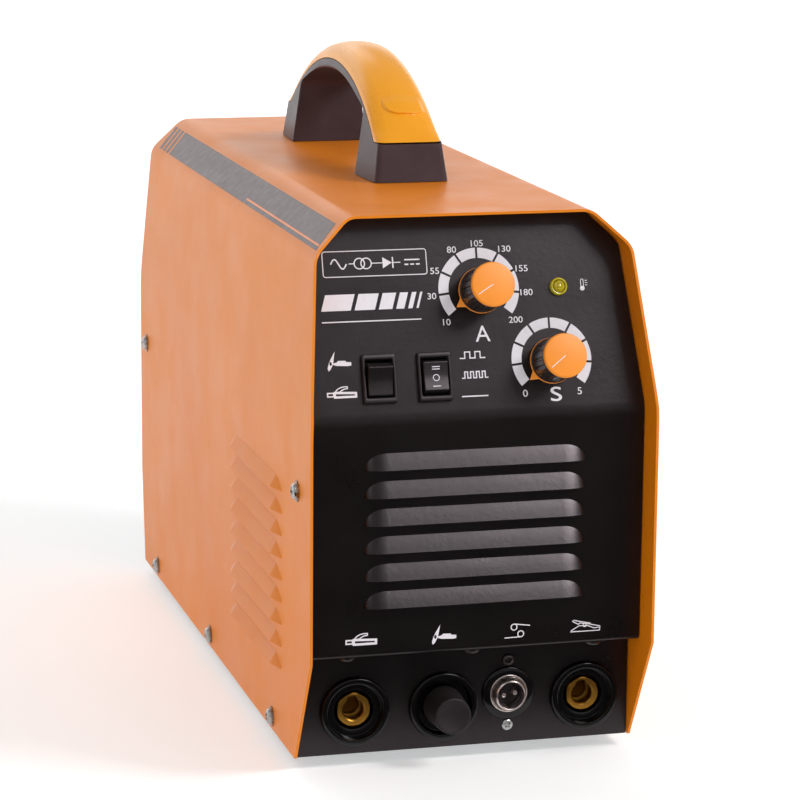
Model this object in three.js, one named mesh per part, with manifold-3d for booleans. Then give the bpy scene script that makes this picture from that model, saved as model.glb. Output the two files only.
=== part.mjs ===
// Portable inverter TIG welding machine, as an assembly of its separate pieces.
// Millimetres, +Z up, front towards -Y. The origin is the centre of the bounding box's base,
// on the surface that the feet stand on.
//
// Inside the "machine" group, x is measured from the middle plane, y from the foremost edge
// of the cover towards the back, and z from the cover's lower edge.
import * as THREE from "three";
import { mergeVertices } from "three/addons/utils/BufferGeometryUtils.js";
import { ConvexGeometry } from "three/addons/geometries/ConvexGeometry.js";
import Module from "manifold-3d";

const wasm = await Module();
wasm.setup();

// ---- driving dimensions ---------------------------------------------------------------

const SHEET = 1.2; // steel sheet of the cover and panels
const GAP = 0.3; // clearance between touching pieces

const COVER = {
  halfWidth: 77.5,
  creaseZ: 155.5, // soft bend half-way up the side
  shoulderX: 71.1,
  shoulderZ: 223.5,
  topX: 54.5,
  topZ: 238.9,
  rearY: 391,
  rearBottomY: 383.8,
  bendRadius: 4,
};
const NOSE = { bottomY: 28.8, lowZ: 50.4, shoulderY: 21.4, topY: 29.4 };

const PANEL = {
  recess: 15, // vent panel behind the cover's nose
  lean: THREE.MathUtils.degToRad(17.5), // control panel leans back
  kneeZ: 153,
  ledgeZ: 48,
  socketY: 30, // socket panel behind the cover's nose
  flange: 14,
  clearance: 0.5, // to the cover's inner face
};
const REAR_PANEL_Y = 383; // outer face of the rear panel

const FOOT = { height: 6, radius: 9.5, x: 54, frontY: 66, rearY: 346 };
const INLET_TIP_Y = 403; // gas inlet, the rearmost point

const FRONT_LOUVRE = { count: 6, pitch: 12.2, length: 99.2, height: 7, taper: 8, depth: 3.6, topZ: 138.2, x: -0.4 };
const SIDE_LOUVRE = { count: 9, pitch: 10.12, length: 105, height: 5.2, taper: 10, depth: 3, topZ: 119.7, y: 106 };

const KNOB = { skirtRadius: 10, gripRadius: 9.6, taper: 0.98, capRadius: 9.7, height: 21.4, flutes: 18, capBevel: 0.6 };
const POINTER_REACH = 13.4;
const CURRENT_KNOB_AT = [5.05, 53.8]; // on the control panel: across, and up from its knee
const SLOPE_KNOB_AT = [34.85, 22];
const CURRENT_POINTER_ANGLE = THREE.MathUtils.degToRad(211);
const SLOPE_POINTER_ANGLE = THREE.MathUtils.degToRad(217);
const LAMP_AT = [40.5, 54.4];

// Rocker switches: bezel, pocket and paddle sizes; "tilt" is the paddle's angle at rest.
const PANEL_SWITCH = { length: 21.2, width: 14.9, rim: 2, face: 6.2, halfWidth: 5.4, drop: 5.5, travel: 14 };
const POWER_SWITCH = { length: 30, width: 22, rim: 2.2, face: 9.2, halfWidth: 8.4, drop: 7.6, travel: 13 };
const MODE_SWITCH_AT = [-42.7, 17.5];
const PULSE_SWITCH_AT = [-18.1, 17.4];

const SOCKET = { flangeRadius: 15.8, flangeHeight: 3, cupRadius: 12.6, cupDepth: 4, pinRadius: 4.55, hex: 7.3 };
const LEFT_SOCKET_AT = [-50.2, 19.6]; // on the socket panel: across, and up from the lower edge
const TORCH_SOCKET_AT = [-9.9, 19.2];
const TRIGGER_SOCKET_AT = [20, 23.1];
const RIGHT_SOCKET_AT = [55.4, 19.6];
const DUST_CAP = { baseRadius: 9.2, tipRadius: 8.1, length: 14.6, wall: 1.2 };

const HANDLE = {
  midY: 220,
  halfLength: 95,
  riseRadius: 131.4, // outer arch, seen from the side
  top: 294.6,
  capLip: 256.5, // lower edge of the coloured cap at both ends
  capDepth: 8, // the cap wraps this far down the arch
  underRadius: 178,
  underTop: 281,
  legInner: 62.5, // inner faces of the legs from the middle
  crown: 4.5,
};

const FAN = { size: 119, depth: 24, bore: 57, hub: 21, bladeTip: 54.5, z: 112, blades: 7 };

// ---- materials ------------------------------------------------------------------------

function paint(color, roughness, metalness = 0) {
  return new THREE.MeshStandardMaterial({ color, roughness, metalness });
}

const MATERIAL = {
  orangePaint: paint(0xee8226, 0.4),
  blackPaint: paint(0x1b1716, 0.45),
  orangePlastic: paint(0xff9a1f, 0.25),
  blackPlastic: paint(0x161313, 0.35),
  blackRubber: paint(0x1c1a1a, 0.8),
  brass: paint(0xb8893a, 0.3, 1),
  nickel: paint(0xb9b4ae, 0.28, 1),
  zinc: paint(0xa9adb0, 0.35, 1),
  aluminium: paint(0xb4b7ba, 0.45, 1),
  amberLens: paint(0xd8c81a, 0.15),
  greenBoard: paint(0x1d5b34, 0.5),
  ferrite: paint(0x2b2b2e, 0.7),
  copper: paint(0xb56a35, 0.4, 1),
  blueSleeve: paint(0x23386b, 0.4),
  clearHose: paint(0x30343a, 0.5),
};

// ---- shape helpers --------------------------------------------------------------------

const AXIS_X = new THREE.Matrix4().makeBasis(
  new THREE.Vector3(0, 1, 0),
  new THREE.Vector3(0, 0, 1),
  new THREE.Vector3(1, 0, 0),
);
const AXIS_Y = new THREE.Matrix4().makeBasis(
  new THREE.Vector3(1, 0, 0),
  new THREE.Vector3(0, 0, 1),
  new THREE.Vector3(0, -1, 0),
);

function shapeOf(outline, holes = []) {
  const shape = new THREE.Shape(outline.map(([u, v]) => new THREE.Vector2(u, v)));
  for (const hole of holes) {
    shape.holes.push(new THREE.Path(hole.map(([u, v]) => new THREE.Vector2(u, v))));
  }
  return shape;
}

// Prism of an outline in (x, y), from z0 to z1.
function prismZ(outline, z0, z1, holes = []) {
  const geometry = new THREE.ExtrudeGeometry(shapeOf(outline, holes), { depth: z1 - z0, bevelEnabled: false });
  return geometry.translate(0, 0, z0);
}

// Prism of an outline in (y, z), from x0 to x1.
function prismX(outline, x0, x1, steps = 1) {
  const geometry = new THREE.ExtrudeGeometry(shapeOf(outline), { depth: x1 - x0, steps, bevelEnabled: false });
  return geometry.applyMatrix4(AXIS_X).translate(x0, 0, 0);
}

// Prism of an outline in (x, z), from y0 to y1.
function prismY(outline, y0, y1, holes = []) {
  const geometry = new THREE.ExtrudeGeometry(shapeOf(outline, holes), { depth: y1 - y0, bevelEnabled: false });
  return geometry.applyMatrix4(AXIS_Y).translate(0, y1, 0);
}

function box(x0, x1, y0, y1, z0, z1) {
  const geometry = new THREE.BoxGeometry(x1 - x0, y1 - y0, z1 - z0);
  return geometry.translate((x0 + x1) / 2, (y0 + y1) / 2, (z0 + z1) / 2);
}

// Solid of revolution about +Z from [radius, height] points, listed bottom to top on the outside.
function turned(profile, segments = 20) {
  const points = profile.map(([r, h]) => new THREE.Vector2(r, h));
  return new THREE.LatheGeometry(points, segments).rotateX(Math.PI / 2);
}

function rod(radius, z0, z1, segments = 16) {
  return turned([[0, z0], [radius, z0], [radius, z1], [0, z1]], segments);
}

function circle(radius, segments = 20, cx = 0, cy = 0) {
  const points = [];
  for (let i = 0; i < segments; i++) {
    const angle = (2 * Math.PI * i) / segments;
    points.push([cx + radius * Math.cos(angle), cy + radius * Math.sin(angle)]);
  }
  return points;
}

function rectangle(width, height, cx = 0, cy = 0) {
  const [w, h] = [width / 2, height / 2];
  return [[cx - w, cy - h], [cx + w, cy - h], [cx + w, cy + h], [cx - w, cy + h]];
}

// Replaces each corner of a closed outline by an arc.
function filleted(outline, radius, segments = 4) {
  const result = [];
  const count = outline.length;
  for (let i = 0; i < count; i++) {
    const corner = new THREE.Vector2(...outline[i]);
    const before = new THREE.Vector2(...outline[(i + count - 1) % count]).sub(corner).normalize();
    const after = new THREE.Vector2(...outline[(i + 1) % count]).sub(corner).normalize();
    const half = Math.acos(THREE.MathUtils.clamp(before.dot(after), -1, 1)) / 2;
    const reach = radius / Math.tan(half);
    const centre = before.clone().add(after).normalize().multiplyScalar(radius / Math.sin(half)).add(corner);
    const start = before.multiplyScalar(reach).add(corner).sub(centre);
    const end = after.multiplyScalar(reach).add(corner).sub(centre);
    const sweep = Math.atan2(start.cross(end), start.dot(end));
    for (let k = 0; k <= segments; k++) {
      const point = start.clone().rotateAround(new THREE.Vector2(), (sweep * k) / segments).add(centre);
      result.push([point.x, point.y]);
    }
  }
  return result;
}

// Moves each vertex of an open path to its left by a distance, keeping the end points square.
function offsetPath(path, distance) {
  return path.map((point, i) => {
    const at = new THREE.Vector2(...point);
    const normals = [];
    for (const [a, b] of [[i - 1, i], [i, i + 1]]) {
      if (path[a] && path[b]) {
        const run = new THREE.Vector2(path[b][0] - path[a][0], path[b][1] - path[a][1]).normalize();
        normals.push(new THREE.Vector2(-run.y, run.x));
      }
    }
    const normal = normals.length === 2 ? normals[0].clone().add(normals[1]).normalize() : normals[0];
    const moved = at.add(normal.clone().multiplyScalar(distance / normal.dot(normals[0])));
    return [moved.x, moved.y];
  });
}

// ---- solids: joining and cutting ------------------------------------------------------

function solid(geometry) {
  const bare = geometry.clone();
  for (const name of ["normal", "uv"]) {
    bare.deleteAttribute(name);
  }
  const merged = mergeVertices(bare, 1e-4);
  const index = [];
  for (let i = 0; i < merged.index.count; i += 3) {
    const [a, b, c] = [0, 1, 2].map((k) => merged.index.getX(i + k));
    if (a !== b && b !== c && c !== a) {
      index.push(a, b, c);
    }
  }
  return new wasm.Manifold(
    new wasm.Mesh({
      numProp: 3,
      vertProperties: new Float32Array(merged.attributes.position.array),
      triVerts: new Uint32Array(index),
    }),
  );
}

function geometryOf(manifold) {
  const mesh = manifold.getMesh();
  const geometry = new THREE.BufferGeometry();
  geometry.setAttribute("position", new THREE.BufferAttribute(new Float32Array(mesh.vertProperties), 3));
  geometry.setIndex(new THREE.BufferAttribute(new Uint32Array(mesh.triVerts), 1));
  const flat = geometry.toNonIndexed();
  flat.computeVertexNormals();
  return flat;
}

// Joins the geometries in "keep", cuts away those in "cut" and limits the rest to "within".
function carve(keep, cut = [], within = null) {
  let result = keep.map(solid).reduce((a, b) => a.add(b));
  for (const tool of cut) {
    result = result.subtract(solid(tool));
  }
  return geometryOf(within ? result.intersect(solid(within)) : result);
}

// ---- scene graph ----------------------------------------------------------------------

// The foremost point of the object is the lower edge of the slope knob's cap.
function knobFrontY() {
  const edge = SLOPE_KNOB_AT[1] - KNOB.capRadius + KNOB.capBevel;
  return PANEL.recess + edge * Math.sin(PANEL.lean) - KNOB.height * Math.cos(PANEL.lean);
}

const part = new THREE.Group();
part.name = "tig_welding_machine";

const machine = new THREE.Group();
machine.position.set(0, -(INLET_TIP_Y + knobFrontY()) / 2, FOOT.height);
part.add(machine);

// Face frames: x across, y up the face, z out of it.
const controlPanel = new THREE.Group();
controlPanel.position.set(0, PANEL.recess, PANEL.kneeZ);
controlPanel.rotation.x = Math.PI / 2 - PANEL.lean;
machine.add(controlPanel);

const socketPanel = new THREE.Group();
socketPanel.position.set(0, PANEL.socketY, 0);
socketPanel.rotation.x = Math.PI / 2;
machine.add(socketPanel);

const rearPanel = new THREE.Group();
rearPanel.position.set(0, REAR_PANEL_Y, 0);
rearPanel.rotation.set(Math.PI / 2, Math.PI, 0);
machine.add(rearPanel);

function add(parent, name, geometry, material, at = [0, 0, 0], rotation = [0, 0, 0]) {
  const mesh = new THREE.Mesh(geometry, material);
  mesh.name = name;
  mesh.position.set(...at);
  mesh.rotation.set(...rotation);
  parent.add(mesh);
}

// ---- louvres --------------------------------------------------------------------------

// A pressed louvre: a hood that starts flush at its top edge, stands out at its lower lip and
// is open underneath. Local x runs along it, y up and z out of the sheet, y = 0 at the top.
function hood({ length, height, taper, depth }, back) {
  const half = length / 2;
  const points = [];
  for (const side of [-1, 1]) {
    points.push(
      [side * (half - taper), 0, 0],
      [side * half, -height, 0],
      [side * (half - taper), -height, depth],
      [side * (half - taper), 0, -back],
      [side * half, -height, -back],
    );
  }
  return new ConvexGeometry(points.map((p) => new THREE.Vector3(...p)));
}

function louvreTools(size) {
  const wall = 1;
  const outer = hood(size, wall / 2);
  const inner = hood({ ...size, length: size.length - 3 * wall }, 3).translate(0, -wall, -wall);
  return { outer, inner };
}

// ---- cover ----------------------------------------------------------------------------

const COVER_RIGHT = [
  [COVER.halfWidth, 0],
  [COVER.halfWidth, COVER.creaseZ],
  [COVER.shoulderX, COVER.shoulderZ],
  [COVER.topX, COVER.topZ],
];
const COVER_PATH = [...COVER_RIGHT, ...COVER_RIGHT.map(([x, z]) => [-x, z]).reverse()];

// The closed section that fills the cover up to a distance inside its outer face.
function sectionInside(distance, bottom = 0) {
  const path = offsetPath(COVER_PATH, distance);
  path[0][1] = bottom;
  path[path.length - 1][1] = bottom;
  const rounded = filleted(path, COVER.bendRadius - distance / 2, 3);
  const bendPoints = 4;
  return [path[0], ...rounded.slice(bendPoints, -bendPoints), path[path.length - 1]];
}

function coverSideProfile() {
  return [
    [NOSE.bottomY, -1],
    [0, NOSE.lowZ],
    [0, COVER.creaseZ],
    [NOSE.shoulderY, COVER.shoulderZ],
    [NOSE.topY, COVER.topZ + 1],
    [COVER.rearY, COVER.topZ + 1],
    [COVER.rearY, NOSE.lowZ],
    [COVER.rearBottomY, -1],
  ];
}

function sideLouvreMatrices() {
  const matrices = [];
  for (const side of [-1, 1]) {
    for (let i = 0; i < SIDE_LOUVRE.count; i++) {
      const z = SIDE_LOUVRE.topZ - i * SIDE_LOUVRE.pitch;
      matrices.push(
        new THREE.Matrix4()
          .makeTranslation(side * COVER.halfWidth, SIDE_LOUVRE.y, z)
          .multiply(new THREE.Matrix4().makeRotationZ((side * Math.PI) / 2))
          .multiply(new THREE.Matrix4().makeRotationX(Math.PI / 2)),
      );
    }
  }
  return matrices;
}

function makeCover() {
  const outer = prismY(sectionInside(0), 0, COVER.rearY);
  const inner = prismY(sectionInside(SHEET, -1), -1, COVER.rearY + 1);
  const louvre = louvreTools(SIDE_LOUVRE);
  const matrices = sideLouvreMatrices();
  const shell = carve([outer], [inner], prismX(coverSideProfile(), -COVER.halfWidth - 1, COVER.halfWidth + 1));
  const cover = carve(
    [shell, ...matrices.map((m) => louvre.outer.clone().applyMatrix4(m))],
    matrices.map((m) => louvre.inner.clone().applyMatrix4(m)),
  );
  add(machine, "cover", cover, MATERIAL.orangePaint);
}

// ---- front panel ----------------------------------------------------------------------

// The panel's front face from the top down, in (y, z).
function frontFacePath() {
  const rise = COVER.topZ - SHEET - PANEL.clearance - PANEL.kneeZ;
  return [
    [PANEL.recess + rise * Math.tan(PANEL.lean), PANEL.kneeZ + rise],
    [PANEL.recess, PANEL.kneeZ],
    [PANEL.recess, PANEL.ledgeZ],
    [PANEL.socketY, PANEL.ledgeZ - 1],
    [PANEL.socketY, 0],
  ];
}

function frontFlange(side) {
  const x = side * (COVER.halfWidth - SHEET - PANEL.clearance);
  const outline = [
    [PANEL.recess + GAP, 60],
    [PANEL.recess + PANEL.flange + SHEET, 60],
    [PANEL.recess + PANEL.flange + SHEET, 140],
    [PANEL.recess + GAP, 140],
  ];
  return prismX(outline, Math.min(x, x - side * SHEET), Math.max(x, x - side * SHEET));
}

function onControlPanel(geometry) {
  controlPanel.updateMatrix();
  return geometry.applyMatrix4(controlPanel.matrix);
}

function onSocketPanel(geometry) {
  socketPanel.updateMatrix();
  return geometry.applyMatrix4(socketPanel.matrix);
}

function controlCutouts() {
  const cutouts = [];
  for (const [x, y] of [CURRENT_KNOB_AT, SLOPE_KNOB_AT]) {
    cutouts.push(rod(5, -5, 5, 20).translate(x, y, 0));
  }
  cutouts.push(rod(3.3, -5, 5, 16).translate(...LAMP_AT, 0));
  for (const [x, y] of [MODE_SWITCH_AT, PULSE_SWITCH_AT]) {
    cutouts.push(prismZ(rectangle(13.2, 19.4, x, y), -5, 5));
  }
  return cutouts.map(onControlPanel);
}

function socketCutouts() {
  const cutouts = [LEFT_SOCKET_AT, TORCH_SOCKET_AT, RIGHT_SOCKET_AT].map(([x, y]) =>
    rod(13.4, -5, 5).translate(x, y, 0),
  );
  cutouts.push(rod(8.6, -5, 5, 24).translate(...TRIGGER_SOCKET_AT, 0));
  return cutouts.map(onSocketPanel);
}

function frontLouvreMatrices() {
  const matrices = [];
  for (let i = 0; i < FRONT_LOUVRE.count; i++) {
    const z = FRONT_LOUVRE.topZ - i * FRONT_LOUVRE.pitch;
    matrices.push(
      new THREE.Matrix4()
        .makeTranslation(FRONT_LOUVRE.x, PANEL.recess, z)
        .multiply(new THREE.Matrix4().makeRotationX(Math.PI / 2)),
    );
  }
  return matrices;
}

function makeFrontPanel() {
  const face = frontFacePath();
  const back = offsetPath(face, SHEET).reverse();
  const width = COVER.halfWidth;
  const sheet = prismX([...face, ...back], -width, width);
  const fit = prismY(sectionInside(SHEET + PANEL.clearance), -5, 100);
  const louvre = louvreTools(FRONT_LOUVRE);
  const matrices = frontLouvreMatrices();
  const pressed = carve(
    [sheet, frontFlange(-1), frontFlange(1), ...matrices.map((m) => louvre.outer.clone().applyMatrix4(m))],
    [...matrices.map((m) => louvre.inner.clone().applyMatrix4(m)), ...controlCutouts(), ...socketCutouts()],
    fit,
  );
  add(machine, "front_panel", pressed, MATERIAL.blackPaint);
}

// ---- base tray and rear panel ---------------------------------------------------------

const TRAY_FRONT = PANEL.socketY + SHEET + GAP;
const TRAY_BACK = REAR_PANEL_Y - SHEET - GAP;

function makeBaseTray() {
  const half = COVER.halfWidth - SHEET - PANEL.clearance;
  const wall = 14;
  const outline = [
    [-half, 0],
    [half, 0],
    [half, wall],
    [half - SHEET, wall],
    [half - SHEET, SHEET],
    [-half + SHEET, SHEET],
    [-half + SHEET, wall],
    [-half, wall],
  ];
  const slots = [];
  for (let i = 0; i < 5; i++) {
    slots.push(box(-30, 30, 120 + i * 16, 126 + i * 16, -1, SHEET + 1));
  }
  add(machine, "base_tray", carve([prismY(outline, TRAY_FRONT, TRAY_BACK)], slots), MATERIAL.zinc);
}

const POWER_SWITCH_AT = [36, 205]; // on the rear panel, seen from behind
const GLAND_AT = [-38, 205];
const GAS_INLET_AT = [-45, 28];
const EARTH_STUD_AT = [45, 28];

function makeRearPanel() {
  const inset = SHEET + PANEL.clearance;
  const plate = prismY(sectionInside(inset), REAR_PANEL_Y - SHEET, REAR_PANEL_Y);
  const flanges = [-1, 1].map((side) => {
    const x = side * (COVER.halfWidth - inset);
    return box(Math.min(x, x - side * SHEET), Math.max(x, x - side * SHEET), REAR_PANEL_Y - 18, REAR_PANEL_Y - 1, 66, 148);
  });
  const mirrored = ([x, z]) => [-x, z];
  const [switchX, switchZ] = mirrored(POWER_SWITCH_AT);
  const cutouts = [
    prismY(circle(FAN.bore - 2, 28, 0, FAN.z), REAR_PANEL_Y - 5, REAR_PANEL_Y + 5),
    prismY(rectangle(20.5, 28.2, switchX, switchZ), REAR_PANEL_Y - 5, REAR_PANEL_Y + 5),
    prismY(circle(8.6, 16, ...mirrored(GLAND_AT)), REAR_PANEL_Y - 5, REAR_PANEL_Y + 5),
    prismY(circle(5.6, 14, ...mirrored(GAS_INLET_AT)), REAR_PANEL_Y - 5, REAR_PANEL_Y + 5),
    prismY(circle(3.5, 10, ...mirrored(EARTH_STUD_AT)), REAR_PANEL_Y - 5, REAR_PANEL_Y + 5),
  ];
  add(machine, "rear_panel", carve([plate, ...flanges], cutouts), MATERIAL.blackPaint);
}

// ---- feet -----------------------------------------------------------------------------

function makeFeet() {
  const foot = turned([
    [0, -FOOT.height],
    [FOOT.radius - 1.5, -FOOT.height],
    [FOOT.radius, -GAP - 1.2],
    [FOOT.radius, -GAP],
    [0, -GAP],
  ], 24);
  for (const [end, y] of [["front", FOOT.frontY], ["rear", FOOT.rearY]]) {
    for (const [side, x] of [["left", -FOOT.x], ["right", FOOT.x]]) {
      add(machine, `foot_${end}_${side}`, foot, MATERIAL.blackRubber, [x, y, 0]);
    }
  }
}

// ---- handle ---------------------------------------------------------------------------

// Height of an arch of a given radius and top at a distance y from the handle's middle.
function archHeight(radius, top, y) {
  return top - radius + Math.sqrt(radius * radius - y * y);
}

function archPoints(radius, top, half, count) {
  const points = [];
  for (let i = 0; i <= count; i++) {
    const y = -half + (2 * half * i) / count;
    points.push([HANDLE.midY + y, archHeight(radius, top, y)]);
  }
  return points;
}

// Half-width of the handle: barrel-shaped in plan, with tapered sides.
function handleHalfWidth(y, z) {
  const bulge = ((y - HANDLE.midY) / HANDLE.halfLength) ** 2;
  return 20.7 - 3.4 * bulge - 0.14 * (z - COVER.topZ);
}

// Extrudes a side profile across the handle, shapes its sides and crowns what lies above "crownFrom".
function handleSolid(profile, steps, crowned) {
  const geometry = prismX(profile, -1, 1, steps);
  const position = geometry.attributes.position;
  for (let i = 0; i < position.count; i++) {
    const [across, y, z] = [position.getX(i), position.getY(i), position.getZ(i)];
    const drop = crowned(y, z) ? HANDLE.crown * across ** 4 : 0;
    position.setX(i, across * handleHalfWidth(y, z - drop));
    position.setZ(i, z - drop);
  }
  geometry.computeVertexNormals();
  return geometry;
}

function makeHandle() {
  const capHalf = HANDLE.halfLength - 3;
  const outerArch = archPoints(HANDLE.riseRadius, HANDLE.top, capHalf, 18);
  const seamRadius = HANDLE.riseRadius + 1.6;
  const seamHalf = 84;
  const seamArch = archPoints(seamRadius, HANDLE.top - HANDLE.capDepth, seamHalf, 16);
  const underArch = archPoints(HANDLE.underRadius, HANDLE.underTop, HANDLE.legInner, 12);
  const floor = COVER.topZ + GAP;
  const cap = [
    [HANDLE.midY - capHalf, HANDLE.capLip],
    ...outerArch,
    [HANDLE.midY + capHalf, HANDLE.capLip],
    ...seamArch.slice().reverse(),
  ];
  const seatArch = seamArch.map(([y, z]) => [y, z - GAP]);
  const base = [
    [HANDLE.midY - HANDLE.halfLength, floor],
    [HANDLE.midY - capHalf, HANDLE.capLip - GAP],
    ...seatArch,
    [HANDLE.midY + capHalf, HANDLE.capLip - GAP],
    [HANDLE.midY + HANDLE.halfLength, floor],
    [HANDLE.midY + HANDLE.legInner, floor],
    ...underArch.slice().reverse(),
    [HANDLE.midY - HANDLE.legInner, floor],
  ];
  const onOuterArch = (y, z) =>
    Math.abs(z - archHeight(HANDLE.riseRadius, HANDLE.top, y - HANDLE.midY)) < 0.01 && z > HANDLE.capLip + 4;
  add(machine, "handle_cap", handleSolid(cap.slice().reverse(), 6, onOuterArch), MATERIAL.orangePlastic);
  add(machine, "handle_base", handleSolid(base.slice().reverse(), 1, () => false), MATERIAL.blackPlastic);
}

// ---- control knobs --------------------------------------------------------------------

function flutedOutline(radius, flutes) {
  const points = [];
  for (let i = 0; i < flutes; i++) {
    for (const [step, depth] of [[0.1, 0], [0.9, 0], [1, 0.4]]) {
      const angle = (2 * Math.PI * (i + step)) / flutes;
      points.push([(radius - depth) * Math.cos(angle), (radius - depth) * Math.sin(angle)]);
    }
  }
  return points;
}

function taperTowards(geometry, z0, z1, scaleTop) {
  const position = geometry.attributes.position;
  for (let i = 0; i < position.count; i++) {
    const k = 1 - (1 - scaleTop) * ((position.getZ(i) - z0) / (z1 - z0));
    position.setXY(i, position.getX(i) * k, position.getY(i) * k);
  }
  return geometry;
}

// A pointer disc under the knob, with a triangular index.
function knobSkirt(angle) {
  const disc = rod(KNOB.skirtRadius, 1.1, 2, 30);
  const spread = 0.3;
  const tip = [POINTER_REACH, angle];
  const corner = (sign) => [KNOB.skirtRadius * 0.97, angle + sign * spread];
  const triangle = [corner(-1), tip, corner(1), [2, angle]].map(([r, a]) => [
    r * Math.cos(a),
    r * Math.sin(a),
  ]);
  return carve([disc, prismZ(triangle, 1.1, 2)], [rod(3.5, 0, 4, 20)]);
}

function makeKnob(name, [x, y], pointerAngle) {
  const [low, high] = [2 + GAP, KNOB.height - 1.9];
  const fluted = prismZ(flutedOutline(KNOB.gripRadius, KNOB.flutes), low, high);
  const body = carve([taperTowards(fluted, low, high, KNOB.taper)], [rod(3.3, 0, 15, 20)]);
  const cap = turned([
    [0, high + GAP],
    [KNOB.capRadius, high + GAP],
    [KNOB.capRadius, KNOB.height - KNOB.capBevel],
    [KNOB.capRadius - KNOB.capBevel, KNOB.height],
    [0, KNOB.height],
  ], 30);
  const shaft = rod(3, -12, 14.5, 20);
  const potBody = turned([
    [3.4, -18],
    [12, -18],
    [12, -6],
    [4.5, -6],
    [4.5, 0.8],
    [3.4, 0.8],
    [3.4, -18],
  ], 20);
  const at = [x, y, 0];
  add(controlPanel, `${name}_knob`, body, MATERIAL.blackPlastic, at);
  add(controlPanel, `${name}_knob_cap`, cap, MATERIAL.orangePlastic, at);
  add(controlPanel, `${name}_knob_pointer`, knobSkirt(pointerAngle), MATERIAL.orangePlastic, at);
  add(controlPanel, `${name}_shaft`, shaft, MATERIAL.zinc, at);
  add(controlPanel, `${name}_potentiometer`, potBody, MATERIAL.zinc, at);
}

// ---- rocker switches ------------------------------------------------------------------

function makeRocker(parent, name, size, [x, y], tilt) {
  const pivotZ = size.rim + 0.2 - size.drop * Math.cos(THREE.MathUtils.degToRad(size.travel)) +
    size.face * Math.sin(THREE.MathUtils.degToRad(size.travel));
  const flare = size.face * 0.2;
  const pocket = Math.hypot(size.face + flare, size.drop * 0.3) + 0.35;
  const depth = pivotZ - size.drop * 0.5;
  const bodyFloor = depth - 6;
  const housing = carve(
    [
      prismZ(filleted(rectangle(size.width, size.length), 0.8, 2), 0.15, size.rim),
      prismZ(rectangle(size.width - 2.1, size.length - 2.4), bodyFloor, 1),
    ],
    [prismZ(rectangle(2 * size.halfWidth + 0.8, 2 * pocket), depth - 2.5, size.rim + 1)],
  );
  const paddle = prismX([
    [-size.face, size.drop],
    [-size.face - flare, size.drop * 0.3],
    [-size.face * 0.7, -size.drop * 0.3],
    [size.face * 0.7, -size.drop * 0.3],
    [size.face + flare, size.drop * 0.3],
    [size.face, size.drop],
    [size.face * 0.4, size.drop - 0.35],
    [-size.face * 0.4, size.drop - 0.35],
  ], -size.halfWidth, size.halfWidth);
  add(parent, `${name}_housing`, housing, MATERIAL.blackPlastic, [x, y, 0]);
  const tiltAngle = THREE.MathUtils.degToRad(tilt);
  add(parent, `${name}_rocker`, paddle, MATERIAL.blackPlastic, [x, y, pivotZ], [tiltAngle, 0, 0]);
}

// ---- indicator lamp -------------------------------------------------------------------

function makeLamp() {
  const at = [...LAMP_AT, 0];
  const bezel = turned([
    [2.95, 0.15],
    [3.85, 0.15],
    [3.85, 1.2],
    [3.3, 1.8],
    [2.95, 1.8],
    [2.95, 0.15],
  ], 20);
  const dome = [[0, -6], [2.6, -6]];
  for (let i = 0; i <= 4; i++) {
    const angle = (Math.PI / 2) * (i / 4);
    dome.push([2.6 * Math.cos(angle), 1.4 + 2.2 * Math.sin(angle)]);
  }
  dome[dome.length - 1][0] = 0;
  add(controlPanel, "overload_lamp_bezel", bezel, MATERIAL.amberLens, at);
  add(controlPanel, "overload_lamp_lens", turned(dome, 16), MATERIAL.amberLens, at);
}

// ---- output sockets -------------------------------------------------------------------

function insulator(boreRadius) {
  const [r, h] = [SOCKET.flangeRadius, SOCKET.flangeHeight];
  const floor = h - SOCKET.cupDepth;
  return turned([
    [boreRadius, -20],
    [13, -20],
    [13, 0.2],
    [r, 0.2],
    [r, h],
    [SOCKET.cupRadius, h],
    [SOCKET.cupRadius - 0.8, floor],
    [boreRadius, floor],
    [boreRadius, -20],
  ]);
}

function makeWeldSocket(name, [x, y]) {
  const face = -1.2;
  const hexagon = filleted(circle(SOCKET.hex / Math.cos(Math.PI / 6), 6), 3.2, 3);
  const insert = carve(
    [prismZ(hexagon, -12, face), rod(6, -30, -11)],
    [rod(SOCKET.pinRadius, -24, face + 1, 20)],
  );
  add(socketPanel, `${name}_socket_insulator`, insulator(8.9), MATERIAL.blackPlastic, [x, y, 0]);
  add(socketPanel, `${name}_socket_insert`, insert, MATERIAL.brass, [x, y, 0]);
}

function makeTorchConnector() {
  const at = [...TORCH_SOCKET_AT, 0];
  const stud = turned([
    [0, -24],
    [5, -24],
    [5, -16],
    [7.8, -16],
    [7.8, 0],
    [7, 1],
    [7, 13],
    [6.2, 14],
    [0, 14],
  ], 20);
  const [low, high] = [SOCKET.flangeHeight + GAP, SOCKET.flangeHeight + DUST_CAP.length];
  const inside = DUST_CAP.baseRadius - DUST_CAP.wall;
  const dustCap = turned([
    [inside, low],
    [DUST_CAP.baseRadius, low],
    [DUST_CAP.tipRadius, high],
    [0, high],
    [0, 14.6],
    [7.3, 14.6],
    [inside, low],
  ], 24);
  add(socketPanel, "torch_connector_insulator", insulator(8.1), MATERIAL.blackPlastic, at);
  add(socketPanel, "torch_connector_stud", stud, MATERIAL.brass, at);
  add(socketPanel, "dust_cap", dustCap, MATERIAL.blackRubber, at);
}

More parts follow.
